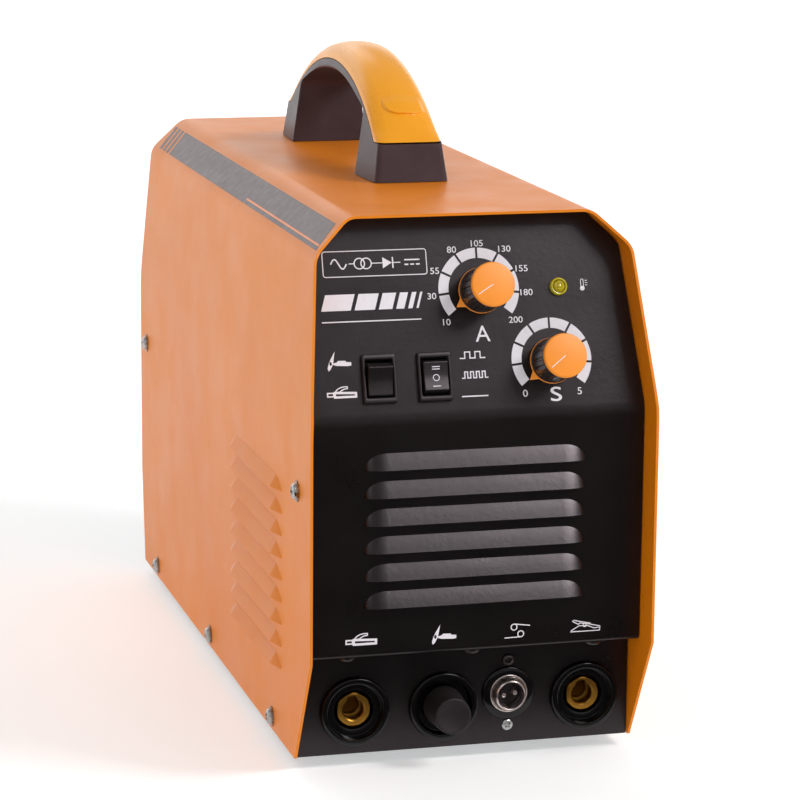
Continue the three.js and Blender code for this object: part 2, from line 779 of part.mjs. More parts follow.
function makeTriggerSocket() {
  const at = [...TRIGGER_SOCKET_AT, 0];
  const seat = turned([[8.4, 0.15], [12, 0.15], [12, 1], [11.4, 1.4], [8.4, 1.4], [8.4, 0.15]]);
  const shell = turned([
    [6.6, -14],
    [8, -14],
    [8, 1.7],
    [9.6, 1.7],
    [9.6, 3.2],
    [8, 3.2],
    [8, 6],
    [6.6, 6],
    [6.6, -14],
  ]);
  const pins = [-2.6, 2.6].map((x) => rod(0.8, -18, 4, 8).translate(x, 0.6, 0));
  const insert = carve([rod(6.3, -14, 0.4, 20), ...pins]);
  add(socketPanel, "trigger_socket_seat", seat, MATERIAL.blackPlastic, at);
  add(socketPanel, "trigger_socket_shell", shell, MATERIAL.nickel, at);
  add(socketPanel, "trigger_socket_insert", insert, MATERIAL.blackPlastic, at);
}

// ---- rear fittings --------------------------------------------------------------------

function makeFan() {
  const at = [0, FAN.z, -SHEET - GAP];
  const half = FAN.size / 2;
  const arms = [];
  for (let i = 0; i < 3; i++) {
    arms.push(box(0, FAN.bore + 1, -2, 2, -FAN.depth, -FAN.depth + 3).rotateZ((2 * Math.PI * i) / 3 + Math.PI / 2));
  }
  const outline = filleted(rectangle(2 * half, 2 * half), 5, 3);
  const holes = [circle(FAN.bore, 28), ...[45, 135, 225, 315].map((deg) => {
    const angle = THREE.MathUtils.degToRad(deg);
    return circle(2.2, 8, 74.2 * Math.cos(angle), 74.2 * Math.sin(angle));
  })];
  const frame = carve([prismZ(outline, -FAN.depth, 0, holes), rod(FAN.hub - 2, -FAN.depth, -FAN.depth + 5), ...arms]);
  add(rearPanel, "fan_frame", frame, MATERIAL.blackPlastic, at);
  add(rearPanel, "fan_rotor", fanRotor(), MATERIAL.blackPlastic, at);
  add(rearPanel, "fan_guard", fanGuard(), MATERIAL.zinc, [0, FAN.z, 0]);
}

function fanRotor() {
  const blades = [];
  for (let i = 0; i < FAN.blades; i++) {
    const blade = box(FAN.hub - 2, FAN.bladeTip, -14, 14, -0.9, 0.9);
    blade.rotateX(THREE.MathUtils.degToRad(33)).translate(0, 0, -11);
    blades.push(blade.rotateZ((2 * Math.PI * i) / FAN.blades));
  }
  return carve([rod(FAN.hub, -FAN.depth + 6, -2, 28), ...blades]);
}

function fanGuard() {
  const wire = 0.9;
  const section = (radius) => circle(wire, 4, radius, 0);
  const rings = [15, 33, 51].map((radius) => turned([...section(radius), section(radius)[0]], 30));
  const arms = [0, 1, 2, 3].map((i) => {
    const angle = (Math.PI / 2) * i + Math.PI / 4;
    return box(14, 74, -1, 1, -wire, wire).rotateZ(angle);
  });
  return carve([...rings, ...arms]).translate(0, 0, 1.4);
}

function makeRearFittings() {
  const nut = (across, z0, z1) => prismZ(circle(across / Math.sqrt(3), 6), z0, z1);
  const gland = carve(
    [rod(8.2, -12, 1), nut(24, 0.3, 6), turned([[0, 5], [10.5, 5], [10.5, 11], [7.5, 15], [0, 15]])],
    [rod(4.6, -13, 16, 16)],
  );
  add(rearPanel, "cable_gland", gland, MATERIAL.blackPlastic, [...GLAND_AT, 0]);
  const tip = INLET_TIP_Y - REAR_PANEL_Y;
  const barb = [[0, 3], [4, 3], [4, 8], [4.8, 9], [3.8, 12], [4.8, 13], [3.8, 16], [4.6, 17], [3.2, tip], [0, tip]];
  const inlet = carve([rod(5.2, -16, 0.5, 14), nut(15, 0.3, 5), turned(barb, 14)], [rod(2.2, -17, tip + 1, 10)]);
  add(rearPanel, "gas_inlet", inlet, MATERIAL.brass, [...GAS_INLET_AT, 0]);
  const stud = carve([rod(3, -10, 7.5, 16), nut(10, 0.3, 5)]);
  add(rearPanel, "earth_stud", stud, MATERIAL.zinc, [...EARTH_STUD_AT, 0]);
}

// ---- inside ---------------------------------------------------------------------------

function heatsinkGeometry(width, height, length) {
  const [fins, web] = [8, 6];
  const pitch = (height - 2) / (fins - 1);
  const outline = [[0, 0], [width, 0]];
  for (let i = 0; i < fins; i++) {
    const z = i * pitch;
    outline.push([width, z + 2]);
    if (i < fins - 1) {
      outline.push([web, z + 2], [web, z + pitch], [width, z + pitch]);
    }
  }
  outline.push([0, height]);
  return prismY(outline, 0, length);
}

function makePowerStage() {
  const sink = heatsinkGeometry(32, 60, 132);
  add(machine, "heatsink_left", sink, MATERIAL.aluminium, [-70, 186, 60]);
  add(machine, "heatsink_right", sink, MATERIAL.aluminium, [70, 186 + 132, 60], [0, 0, Math.PI]);
  for (const [side, x] of [["left", -68], ["right", 40]]) {
    add(machine, `igbt_module_${side}`, box(0, 28, 0, 62, 0, 4.8), MATERIAL.blackPlastic, [x, 212, 120.4]);
  }
  const standoffs = [[-62, 140], [62, 140], [-62, 325], [62, 325]].map(([x, y]) => circle(1.8, 8, x, y));
  const board = prismZ([[-70, 122], [70, 122], [70, 336], [-70, 336]], 126, 127.6, standoffs);
  add(machine, "main_board", board, MATERIAL.greenBoard);
  const can = turned([[0, 0], [15, 0], [15, 4], [14.2, 5], [15, 6], [15, 45], [0, 45]], 16);
  [[-34, 168], [0, 168], [34, 168]].forEach(([x, y], i) => {
    add(machine, `bulk_capacitor_${i + 1}`, can, MATERIAL.blueSleeve, [x, y, 128]);
  });
  const control = prismY(rectangle(116, 78, 0, 169), 112, 113.6, [circle(1.8, 8, -50, 200), circle(1.8, 8, 50, 200)]);
  add(machine, "control_board", control, MATERIAL.greenBoard);
}

function makeMagnetics() {
  const windows = [box(-21, -7, -1, 35, 10, 46), box(7, 21, -1, 35, 10, 46)];
  const core = carve([box(-28, 28, 0, 34, 0, 56)], windows);
  add(machine, "transformer_core", core, MATERIAL.ferrite, [0, 246, 10]);
  const winding = prismZ(filleted(rectangle(26, 46), 4, 3), 0, 33, [rectangle(15, 35.2)]);
  add(machine, "transformer_winding", winding, MATERIAL.copper, [0, 263, 21.5]);
  const choke = turned([[12, 0], [24, 0], [27, 4], [27, 20], [24, 24], [12, 24], [12, 0]], 20);
  add(machine, "output_choke", choke, MATERIAL.copper, [-30, 178, 4]);
  const coil = turned([[8, 0], [20, 0], [20, 30], [8, 30], [8, 0]], 20);
  add(machine, "ignition_coil", coil, MATERIAL.copper, [-36, 108, 4]);
}

function makeGasPath() {
  const valveX = -GAS_INLET_AT[0];
  const z = GAS_INLET_AT[1];
  const valveBack = REAR_PANEL_Y - 20;
  const body = carve([box(-13, 13, 0, 24, -12, 12), turned([[0, 0], [4.5, 0], [4.5, 8], [0, 8]], 20).rotateX(Math.PI / 2)]);
  add(machine, "gas_valve_body", body, MATERIAL.brass, [valveX, valveBack - 24, z]);
  add(machine, "gas_valve_coil", box(-13, 13, 0, 22, 0, 30), MATERIAL.blackPlastic, [valveX, valveBack - 33, z + 12.4]);
  const studBack = PANEL.socketY + 24;
  const start = new THREE.Vector3(valveX, valveBack - 24 - 8 - GAP, z);
  const end = new THREE.Vector3(TORCH_SOCKET_AT[0], studBack + 2 * GAP, TORCH_SOCKET_AT[1]);
  const route = new THREE.CatmullRomCurve3([
    start,
    new THREE.Vector3(valveX, start.y - 8, z),
    new THREE.Vector3(valveX + 4, start.y - 24, z - 4),
    new THREE.Vector3(valveX + 12, 270, 14),
    new THREE.Vector3(valveX + 15, 200, 12),
    new THREE.Vector3(valveX + 8, 130, 13),
    new THREE.Vector3(20, 92, 16),
    new THREE.Vector3(end.x + 3, end.y + 20, end.z),
    new THREE.Vector3(end.x, end.y + 8, end.z),
    end,
  ]);
  const section = shapeOf(circle(4, 8));
  const hose = new THREE.ExtrudeGeometry(section, { steps: 24, extrudePath: route, bevelEnabled: false });
  add(machine, "gas_hose", hose, MATERIAL.clearHose);
}

// ---- assembly -------------------------------------------------------------------------

makeCover();
makeFrontPanel();
makeBaseTray();
makeRearPanel();
makeFeet();
makeHandle();
makeKnob("current", CURRENT_KNOB_AT, CURRENT_POINTER_ANGLE);
makeKnob("slope", SLOPE_KNOB_AT, SLOPE_POINTER_ANGLE);
makeRocker(controlPanel, "mode_switch", PANEL_SWITCH, MODE_SWITCH_AT, PANEL_SWITCH.travel);
makeRocker(controlPanel, "pulse_switch", PANEL_SWITCH, PULSE_SWITCH_AT, 0);
makeRocker(rearPanel, "power_switch", POWER_SWITCH, POWER_SWITCH_AT, POWER_SWITCH.travel);
makeLamp();
makeWeldSocket("left", LEFT_SOCKET_AT);
makeWeldSocket("right", RIGHT_SOCKET_AT);
makeTorchConnector();
makeTriggerSocket();
makeFan();
makeRearFittings();
makePowerStage();
makeMagnetics();
makeGasPath();

export default part;
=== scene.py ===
"""The look of a portable inverter TIG welding machine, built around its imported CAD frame.

Shapes are worked out in millimetres in the machine's own coordinates: x from the middle plane,
y back from the foremost edge of the cover, z up from the cover's lower edge.
"""
import math

import bmesh
import bpy
from mathutils import Matrix, Vector


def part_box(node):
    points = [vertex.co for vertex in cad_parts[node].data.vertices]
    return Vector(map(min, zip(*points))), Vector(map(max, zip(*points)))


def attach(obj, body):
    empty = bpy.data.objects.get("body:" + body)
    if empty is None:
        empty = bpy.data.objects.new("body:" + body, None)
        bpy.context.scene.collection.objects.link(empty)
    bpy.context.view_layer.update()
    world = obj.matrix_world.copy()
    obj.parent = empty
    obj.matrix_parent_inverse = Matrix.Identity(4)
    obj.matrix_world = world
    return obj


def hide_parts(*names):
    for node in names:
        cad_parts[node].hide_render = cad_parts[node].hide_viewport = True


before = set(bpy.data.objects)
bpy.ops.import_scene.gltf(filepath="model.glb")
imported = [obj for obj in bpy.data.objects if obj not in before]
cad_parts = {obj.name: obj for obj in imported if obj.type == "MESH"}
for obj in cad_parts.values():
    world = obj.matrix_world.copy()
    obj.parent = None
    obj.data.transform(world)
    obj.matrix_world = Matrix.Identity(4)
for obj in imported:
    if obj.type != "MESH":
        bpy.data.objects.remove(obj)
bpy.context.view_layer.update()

MM = 0.001
ORIGIN = Vector((0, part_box("cover")[0].y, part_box("cover")[0].z))  # cover's nose and lower edge

# ---- driving dimensions, in millimetres -------------------------------------------------

SHEET = 1.2
COVER_SECTION = [(77.5, 0), (77.5, 155.5), (71.1, 223.5), (54.5, 238.9)]  # right half, upwards
BEND = 4
NOSE_PROFILE = [(0, 28.8), (50.4, 0), (155.5, 0), (223.5, 21.4), (238.9, 29.4)]  # z, y of the front
TAIL_PROFILE = [(0, 383.8), (50.4, 391), (238.9, 391)]  # z, y of the back
COVER_TOP = 238.9

PANEL_Y = 15
PANEL_KNEE = 153
PANEL_LEDGE = 48
PANEL_LEAN = math.radians(17.5)
SOCKET_Y = 30
REAR_Y = 383
FAN_Z = 112

CURRENT_DIAL = (4.6, 54.6)
CURRENT_KNOB = (5.05, 53.8)
SECONDS_DIAL = (35.1, 22.9)
SECONDS_KNOB = (34.85, 22)
LAMP = (40.5, 54.4)
MODE_SWITCH = (-42.7, 17.5)
PULSE_SWITCH = (-18.1, 17.4)
LEFT_SOCKET = (-50.2, 19.6)
TORCH_SOCKET = (-9.9, 19.2)
TRIGGER_SOCKET = (20, 23.1)
RIGHT_SOCKET = (55.4, 19.6)
POWER_SWITCH = (36, 205)
CABLE_GLAND = (-38, 205)
GAS_INLET = (-45, 28)
EARTH_STUD = (45, 28)


def place(x, y, z):
    """Machine millimetres to the row frame, in metres."""
    return ORIGIN + Vector((x, y, z)) * MM


def face_frame(origin, across, up):
    """Matrix from a face's own millimetres (across, up, out of the face) to the row frame."""
    across, up = Vector(across), Vector(up)
    out = across.cross(up)
    turn = Matrix((across, up, out)).transposed().to_4x4()
    return Matrix.Translation(origin) @ turn @ Matrix.Scale(MM, 4)


MACHINE = Matrix.Translation(ORIGIN) @ Matrix.Scale(MM, 4)
LEAN_UP = (0, math.sin(PANEL_LEAN), math.cos(PANEL_LEAN))
CONTROL = face_frame(place(0, PANEL_Y, PANEL_KNEE), (1, 0, 0), LEAN_UP)
VENT = face_frame(place(0, PANEL_Y, 0), (1, 0, 0), (0, 0, 1))
SOCKETS = face_frame(place(0, SOCKET_Y, 0), (1, 0, 0), (0, 0, 1))
REAR = face_frame(place(0, REAR_Y, 0), (-1, 0, 0), (0, 0, 1))
LEFT = face_frame(place(-COVER_SECTION[0][0], 0, 0), (0, -1, 0), (0, 0, 1))
RIGHT = face_frame(place(COVER_SECTION[0][0], 0, 0), (0, 1, 0), (0, 0, 1))


def on(face, x, y, out=0):
    return face @ Matrix.Translation((x, y, out))


# ---- mesh helpers -----------------------------------------------------------------------


def table_value(table, z):
    """Linear interpolation in a list of (z, value)."""
    if z <= table[0][0]:
        return table[0][1]
    for (z0, v0), (z1, v1) in zip(table, table[1:]):
        if z <= z1:
            return v0 + (v1 - v0) * (z - z0) / (z1 - z0)
    return table[-1][1]


def spread(start, end, count):
    """count + 1 even values from start to end."""
    return [start + (end - start) * i / count for i in range(count + 1)]


def polar(radius, angle):
    return (radius * math.cos(angle), radius * math.sin(angle))


def grid(rows, columns, point, closed_rows=False, closed_columns=False, skip=None):
    """A quad grid: point(i, j) gives a vertex by row and column; skip(i, j) leaves a quad open."""
    bm = bmesh.new()
    verts = [[bm.verts.new(point(i, j)) for j in range(columns)] for i in range(rows)]
    for i in range(rows if closed_rows else rows - 1):
        for j in range(columns if closed_columns else columns - 1):
            if skip and skip(i, j):
                continue
            a, b = verts[i], verts[(i + 1) % rows]
            quad = (a[j], a[(j + 1) % columns], b[(j + 1) % columns], b[j])
            bm.faces.new(quad)
    return bm


def skin(loops):
    """Joins loops that have the same number of points, and closes the first and last."""
    count = len(loops[0])
    bm = grid(len(loops), count, lambda i, j: loops[i][j], closed_columns=True)
    bm.verts.ensure_lookup_table()
    bm.faces.new([bm.verts[j] for j in reversed(range(count))])
    first = (len(loops) - 1) * count
    bm.faces.new([bm.verts[first + j] for j in range(count)])
    return tidy(bm)


def closed_skin(loops):
    """Joins loops into a ring, the last one to the first."""
    size = (len(loops), len(loops[0]))
    return tidy(grid(*size, lambda i, j: loops[i][j], closed_rows=True, closed_columns=True))


def lathe(profile, segments):
    """Solid of revolution round Z from (radius, height) points.

    A closed profile repeats its first point.
    """
    closed = profile[0] == profile[-1]
    points = profile[:-1] if closed else profile

    def point(i, j):
        radius, height = points[i]
        return (*polar(radius, 2 * math.pi * j / segments), height)

    bm = grid(len(points), segments, point, closed_rows=closed, closed_columns=True)
    bmesh.ops.remove_doubles(bm, verts=bm.verts, dist=1e-5)
    return tidy(bm)


def fillet(before, corner, after, radius, steps):
    """Points of the arc that replaces a corner."""
    a = Vector(before) - Vector(corner)
    b = Vector(after) - Vector(corner)
    reach = min(radius, 0.49 * a.length, 0.49 * b.length)
    start, end, corner = a.normalized() * reach, b.normalized() * reach, Vector(corner)
    points = []
    for i in range(steps + 1):
        t = i / steps
        points.append(tuple(corner + start * (1 - t) ** 2 + end * t * t))
    return points


def rounded_loop(outline, radius, steps=3):
    """A closed outline with each corner replaced by an arc."""
    count = len(outline)
    result = []
    for i in range(count):
        result += fillet(outline[i - 1], outline[i], outline[(i + 1) % count], radius, steps)
    return result


def rectangle(width, height, x=0, y=0):
    w, h = width / 2, height / 2
    return [(x - w, y - h), (x + w, y - h), (x + w, y + h), (x - w, y + h)]


def ring(radius, segments, x=0, y=0):
    angles = [2 * math.pi * i / segments for i in range(segments)]
    return [(x + radius * math.cos(a), y + radius * math.sin(a)) for a in angles]


def prism(outline, low, high):
    """An outline in (x, y) extruded from low to high."""
    return skin([[(x, y, z) for x, y in outline] for z in (low, high)])


def tube(points, radius, segments, closed=False):
    """A round tube along a list of points."""
    count = len(points)
    path = [Vector(p) for p in points]
    angles = [2 * math.pi * j / segments for j in range(segments)]
    loops = []
    side = None
    for i, at in enumerate(path):
        after = path[(i + 1) % count] if closed else path[min(i + 1, count - 1)]
        before = path[i - 1] if closed else path[max(i - 1, 0)]
        along = (after - before).normalized()
        if side is None:
            side = along.orthogonal().normalized()
        side = (side - along * side.dot(along)).normalized()
        up = along.cross(side)
        loops.append([at + (side * math.cos(a) + up * math.sin(a)) * radius for a in angles])
    return closed_skin(loops) if closed else skin(loops)


def tidy(bm):
    bmesh.ops.recalc_face_normals(bm, faces=bm.faces)
    return bm


def merged(parts):
    """Several (bmesh, matrix) pairs as one bmesh."""
    whole = bmesh.new()
    for part, matrix in parts:
        part.transform(matrix)
        mesh = bpy.data.meshes.new("part")
        part.to_mesh(mesh)
        part.free()
        whole.from_mesh(mesh)
        bpy.data.meshes.remove(mesh)
    return whole


def joined(shapes):
    """Several bmeshes as one."""
    return merged([(shape, Matrix()) for shape in shapes])


def thicken(bm, thickness):
    """Gives an open surface a thickness behind its faces, with its rims closed."""
    bm.normal_update()
    bm.verts.ensure_lookup_table()
    back = {}
    for vert in list(bm.verts):
        back[vert] = bm.verts.new(vert.co - vert.normal * thickness * vert.calc_shell_factor())
    rims = [edge for edge in bm.edges if edge.is_boundary]
    loops = []
    for edge in rims:
        loop = edge.link_loops[0]
        loops.append((loop.vert, loop.link_loop_next.vert))
    for face in list(bm.faces):
        bm.faces.new([back[v] for v in reversed(face.verts)])
    for a, b in loops:
        bm.faces.new((b, a, back[a], back[b]))
    return tidy(bm)


def bevel_sharp(bm, width, angle, segments):
    """Rounds the edges that are sharper than an angle."""
    bm.normal_update()
    limit = math.radians(angle)
    edges = [e for e in bm.edges if len(e.link_faces) == 2 and e.calc_face_angle(0) > limit]
    bmesh.ops.bevel(
        bm,
        geom=edges,
        offset=width,
        segments=segments,
        profile=0.5,
        affect="EDGES",
        clamp_overlap=True,
    )


def new_object(name, bm):
    """An object in the scene, made from a bmesh that is then freed."""
    mesh = bpy.data.meshes.new(name)
    bm.to_mesh(mesh)
    bm.free()
    obj = bpy.data.objects.new(name, mesh)
    bpy.context.scene.collection.objects.link(obj)
    return obj


def piece(name, bm, material, matrix, replaces=(), smooth=35, body="housing"):
    """Turns a bmesh, in a matrix's own millimetres, into an object that rides on a body."""
    bm.transform(matrix)
    obj = new_object(name, bm)
    obj.data.polygons.foreach_set("use_smooth", [True] * len(obj.data.polygons))
    obj.data.set_sharp_from_angle(angle=math.radians(smooth))
    obj.data.materials.append(material)
    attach(obj, body)
    if replaces:
        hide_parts(*replaces)
    return obj


def weighted(obj):
    """Keeps large flat faces flat next to rounded edges."""
    modifier = obj.modifiers.new("weighted_normals", "WEIGHTED_NORMAL")
    modifier.keep_sharp = True
    return obj


# ---- materials --------------------------------------------------------------------------


class Nodes:
    """Short names for building one material's nodes."""

    def __init__(self, name):
        self.material = bpy.data.materials.new(name)
        self.material.use_nodes = True
        self.tree = self.material.node_tree
        self.shader = self.tree.nodes["Principled BSDF"]
        self.where = self.add("ShaderNodeTexCoord").outputs["Object"]

    def add(self, kind, **inputs):
        node = self.tree.nodes.new(kind)
        for key, value in inputs.items():
            self.join(value, node.inputs[key.replace("_", " ")])
        return node

    def join(self, value, socket):
        if isinstance(value, bpy.types.NodeSocket):
            self.tree.links.new(value, socket)
        else:
            socket.default_value = value

    def noise(self, scale, detail=3.0, roughness=0.55, where=None):
        node = self.add("ShaderNodeTexNoise", Scale=scale, Detail=detail, Roughness=roughness)
        self.join(where or self.where, node.inputs["Vector"])
        return node.outputs["Fac"]

    def stretched(self, scale):
        node = self.add("ShaderNodeMapping", Vector=self.where)
        node.inputs["Scale"].default_value = scale
        return node.outputs["Vector"]

    def between(self, factor, low, high, low_at=0.3, high_at=0.7):
        """Maps a factor to a number between low and high."""
        node = self.tree.nodes.new("ShaderNodeMapRange")
        for key, value in (
            ("Value", factor),
            ("From Min", low_at),
            ("From Max", high_at),
            ("To Min", low),
            ("To Max", high),
        ):
            self.join(value, node.inputs[key])
        return node.outputs["Result"]

    def ramp(self, factor, *stops):
        """A colour ramp through (position, colour) stops."""
        node = self.add("ShaderNodeValToRGB", Fac=factor)
        elements = node.color_ramp.elements
        while len(elements) < len(stops):
            elements.new(0.5)
        for element, (position, color) in zip(elements, stops):
            element.position = position
            element.color = color
        return node.outputs["Color"]

    def mix(self, factor, first, second):
        node = self.tree.nodes.new("ShaderNodeMix")
        node.data_type = "RGBA"
        self.join(factor, node.inputs["Factor"])
        self.join(first, node.inputs["A"])
        self.join(second, node.inputs["B"])
        return node.outputs["Result"]

    def bump(self, height, strength, distance, below=None):
        node = self.add("ShaderNodeBump", Height=height, Strength=strength, Distance=distance)
        if below is not None:
            self.join(below, node.inputs["Normal"])
        return node.outputs["Normal"]

    def compute(self, kind, operation, *values):
        """The value of a Math or VectorMath node."""
        node = self.tree.nodes.new(kind)
        node.operation = operation
        for value, socket in zip(values, node.inputs):
            self.join(value, socket)
        return node.outputs["Value"]

    def edges(self):
        """About 0.5 on flat stretches, higher on outer edges and lower in grooves."""
        return self.add("ShaderNodeNewGeometry").outputs["Pointiness"]

    def finish(self, **inputs):
        for key, value in inputs.items():
            self.join(value, self.shader.inputs[key.replace("_", " ")])
        return self.material


def rgb(code, scale=1.0):
    """Linear colour of an sRGB hex code."""
    channels = [int(code[i : i + 2], 16) / 255 for i in (0, 2, 4)]
    linear = [c / 12.92 if c <= 0.04045 else ((c + 0.055) / 1.055) ** 2.4 for c in channels]
    return (*[min(1, c * scale) for c in linear], 1)


WHITE = (1, 1, 1, 1)


def powder_coat(name, color, deep, pale, roughness, peel, shine, tint=WHITE):
    """Baked powder paint: orange peel, faint cloudiness and paler edges where it thins."""
    n = Nodes(name)
    cloud = n.noise(9, 4)
    speckle = n.noise(900, 2)
    tone = n.ramp(cloud, (0.3, rgb(deep)), (0.55, rgb(color)), (0.8, rgb(color, 1.06)))
    tone = n.mix(n.between(speckle, 0, 0.1, 0.45, 0.75), tone, rgb(pale))
    tone = n.mix(n.between(n.edges(), 0, 0.35, 0.53, 0.62), tone, rgb(pale))
    fine = n.bump(n.noise(1500, 2), peel * 0.6, 0.0002)
    peel_bump = n.bump(n.noise(420, 2), peel, 0.0004, fine)
    gloss = n.between(n.noise(35, 5), roughness - 0.04, roughness + 0.06)
    return n.finish(
        Base_Color=tone,
        Roughness=gloss,
        Normal=peel_bump,
        Specular_IOR_Level=shine,
        Specular_Tint=tint,
    )


def moulded(
    name,
    color,
    pale,
    roughness,
    grain,
    grain_scale,
    shine=0.5,
    scuffs=0.3,
    tint=WHITE,
    mottle=0.15,
):
    """Injection-moulded plastic: fine grain, soft handling marks and lighter worn edges."""
    n = Nodes(name)
    handling = n.noise(60, 6, 0.6)
    tone = n.ramp(handling, (0.3, rgb(color, 1 - mottle)), (0.7, rgb(color, 1 + mottle)))
    tone = n.mix(n.between(n.edges(), 0, scuffs, 0.52, 0.62), tone, rgb(pale))
    grain_bump = n.bump(n.noise(grain_scale, 2), grain, 0.0002)
    wave = n.bump(n.noise(70, 1), 0.03, 0.0006, grain_bump)
    gloss = n.between(handling, roughness - 0.03, roughness + 0.05)
    return n.finish(
        Base_Color=tone, Roughness=gloss, Normal=wave, Specular_IOR_Level=shine, Specular_Tint=tint
    )


def metal(name, color, dull, roughness, brushed=(1, 1, 1), scratch=0.1, tarnish=0.35):
    """Plated or machined metal with tool marks and uneven tarnish."""
    n = Nodes(name)
    patches = n.noise(110, 6, 0.65)
    tone = n.mix(n.between(patches, 0, tarnish, 0.42, 0.7), rgb(color), rgb(dull))
    tone = n.mix(n.between(n.edges(), 0.5, 0, 0.38, 0.5), tone, rgb(dull, 0.5))
    marks = n.noise(700, 4, 0.7, n.stretched(brushed))
    gloss = n.between(patches, roughness - 0.05, roughness + 0.12)
    return n.finish(
        Base_Color=tone, Metallic=1.0, Roughness=gloss, Normal=n.bump(marks, scratch, 0.0002)
    )


def printed(name, color):
    """Screen-printed ink: matt, very slightly uneven in cover."""
    n = Nodes(name)
    cover = n.noise(500, 4, 0.7)
    tone = n.ramp(cover, (0.25, rgb(color, 0.92)), (0.5, rgb(color)))
    return n.finish(Base_Color=tone, Roughness=n.between(cover, 0.45, 0.6))


def board_material(name):
    """Circuit board: green mask over a faint lattice of copper tracks."""
    n = Nodes(name)
    tracks = n.add("ShaderNodeTexBrick", Vector=n.where, Scale=180.0)
    tracks.inputs["Color1"].default_value = rgb("1d5b34")
    tracks.inputs["Color2"].default_value = rgb("1a5130")
    tracks.inputs["Mortar"].default_value = rgb("2c7a48")
    return n.finish(Base_Color=tracks.outputs["Color"], Roughness=n.between(n.noise(80), 0.3, 0.45))


def winding_material(name):
    """Enamelled copper wire, wound in fine turns."""
    n = Nodes(name)
    turns = n.add("ShaderNodeTexWave", Vector=n.where, Scale=260.0, Distortion=0.4)
    tone = n.ramp(turns.outputs["Fac"], (0.1, rgb("5c2a12")), (0.6, rgb("b8683a")))
    normal = n.bump(turns.outputs["Fac"], 0.5, 0.0006)
    gloss = n.between(n.noise(90), 0.25, 0.4)
    return n.finish(Base_Color=tone, Metallic=0.7, Roughness=gloss, Normal=normal)


def lens_material(name):
    """Tinted moulded lens, paler at its rim as a painted highlight."""
    n = Nodes(name)
    # painted highlight: pointy rims are mixed towards pale yellow
    tone = n.mix(n.between(n.edges(), 0, 0.7, 0.5, 0.6), rgb("a89200"), rgb("f2e63c"))
    tone = n.mix(n.between(n.noise(300, 3), 0, 0.2), tone, rgb("7d6c00"))
    return n.finish(Base_Color=tone, Roughness=n.between(n.noise(60), 0.1, 0.16), Coat_Weight=0.5)


def decal_material(name, color, pale):
    """Printed vinyl film with a fine halftone and a soft satin surface."""
    n = Nodes(name)
    tone = n.ramp(n.noise(25, 4), (0.3, rgb(color)), (0.7, rgb(pale)))
    return n.finish(
        Base_Color=tone,
        Roughness=n.between(n.noise(200, 3), 0.34, 0.44),
        Normal=n.bump(n.noise(500, 2), 0.06, 0.0002),
    )


WARM = (1, 0.87, 0.93, 1)  # the black parts reflect a little warm
PINKISH = (1, 0.8, 0.84, 1)  # and the handle's legs more so

COVER_PAINT = powder_coat("orange_powder_coat", "e8820d", "e57d0b", "ec8a26", 0.36, 0.12, 0.2)
PANEL_PAINT = powder_coat("black_powder_coat", "0f0b0a", "0c0908", "231f1e", 0.3, 0.11, 0.42, WARM)
GLOSS_ORANGE = moulded(
    "gloss_orange_plastic", "ffa80c", "ffbc50", 0.28, 0.02, 900, 0.5, 0, mottle=0.02
)
KNOB_ORANGE = moulded("satin_orange_plastic", "fb9318", "ffb465", 0.42, 0.1, 1800, mottle=0.03)
HANDLE_BLACK = moulded(
    "handle_black_plastic", "483b3f", "66565a", 0.34, 0.12, 1500, 0.2, 0.3, PINKISH
)
BLACK_PLASTIC = moulded("black_plastic", "131011", "393435", 0.36, 0.14, 1700, 0.5, 0.3, WARM)
BEZEL_PLASTIC = moulded("bezel_plastic", "171314", "3a3536", 0.46, 0.2, 1200, 0.5, 0.4, WARM)
GLOSS_BLACK = moulded("gloss_black_plastic", "090707", "1d1a1b", 0.12, 0.03, 900, 0.32, 0.2)
# Black knob grips painted a lighter grey-brown: a painted reflection of the surroundings on their
# glossy flutes.
GRIP_PAINTED_SHEEN = moulded("black_grip_plastic_painted_sheen", "352d2c", "4d4544", 0.24, 0.03, 900, 0.4, 0.1)
RUBBER = moulded("black_rubber", "151111", "35302f", 0.6, 0.3, 1100, 0.4, 0.2, WARM)
BRASS = metal("brass", "9c702c", "62451d", 0.32)
CHROME = metal("satin_chrome", "ecddd8", "9d918d", 0.26, (1, 1, 6), 0.12, 0.25)
ZINC = metal("zinc_plate", "b9b9b8", "77787a", 0.26)
# Zinc plate darkened as painted shade, for the screws that sit in shadow under the socket ledge.
SHADED_ZINC = metal("zinc_plate_painted_shade", "5a5654", "2b2928", 0.34)
TRAY_ZINC = metal("galvanised_tray", "a9acae", "83878a", 0.42, (8, 1, 8), 0.08, 0.6)
ALUMINIUM = metal("extruded_aluminium", "b9bcbf", "8b8f92", 0.38, (12, 1, 12))
INK = printed("white_ink", "e9e4ea")
BAND = decal_material("grey_film", "4c3436", "583d40")
BAND_ORANGE = decal_material("orange_film", "f2802a", "f58c38")
LENS = lens_material("amber_lens")
BOARD = board_material("circuit_board")
WINDING = winding_material("copper_winding")
FERRITE = moulded("ferrite", "26262a", "3d3d42", 0.62, 0.4, 700)
SLEEVE = moulded("blue_sleeve", "1c2f66", "4f62a0", 0.28, 0.04, 900)
HOSE_RUBBER = moulded("black_hose", "202428", "3a3f44", 0.4, 0.1, 600)

# ---- cover ------------------------------------------------------------------------------

SIDE_LOUVRE = {
    "count": 9,
    "pitch": 10.12,
    "length": 105,
    "height": 5.2,
    "taper": 11,
    "curve": 1.1,
    "depth": 3,
    "top": 119.7,
    "at": 106,
}
FRONT_LOUVRE = {
    "count": 6,
    "pitch": 12.2,
    "length": 99.2,
    "height": 7,
    "taper": 9.5,
    "curve": 2,
    "depth": 3.6,
    "top": 138.2,
    "at": -0.4,
}
LOUVRE_STEPS = (0, 0.04, 0.3, 0.6, 0.9, 1)  # from a louvre's top edge to its lip


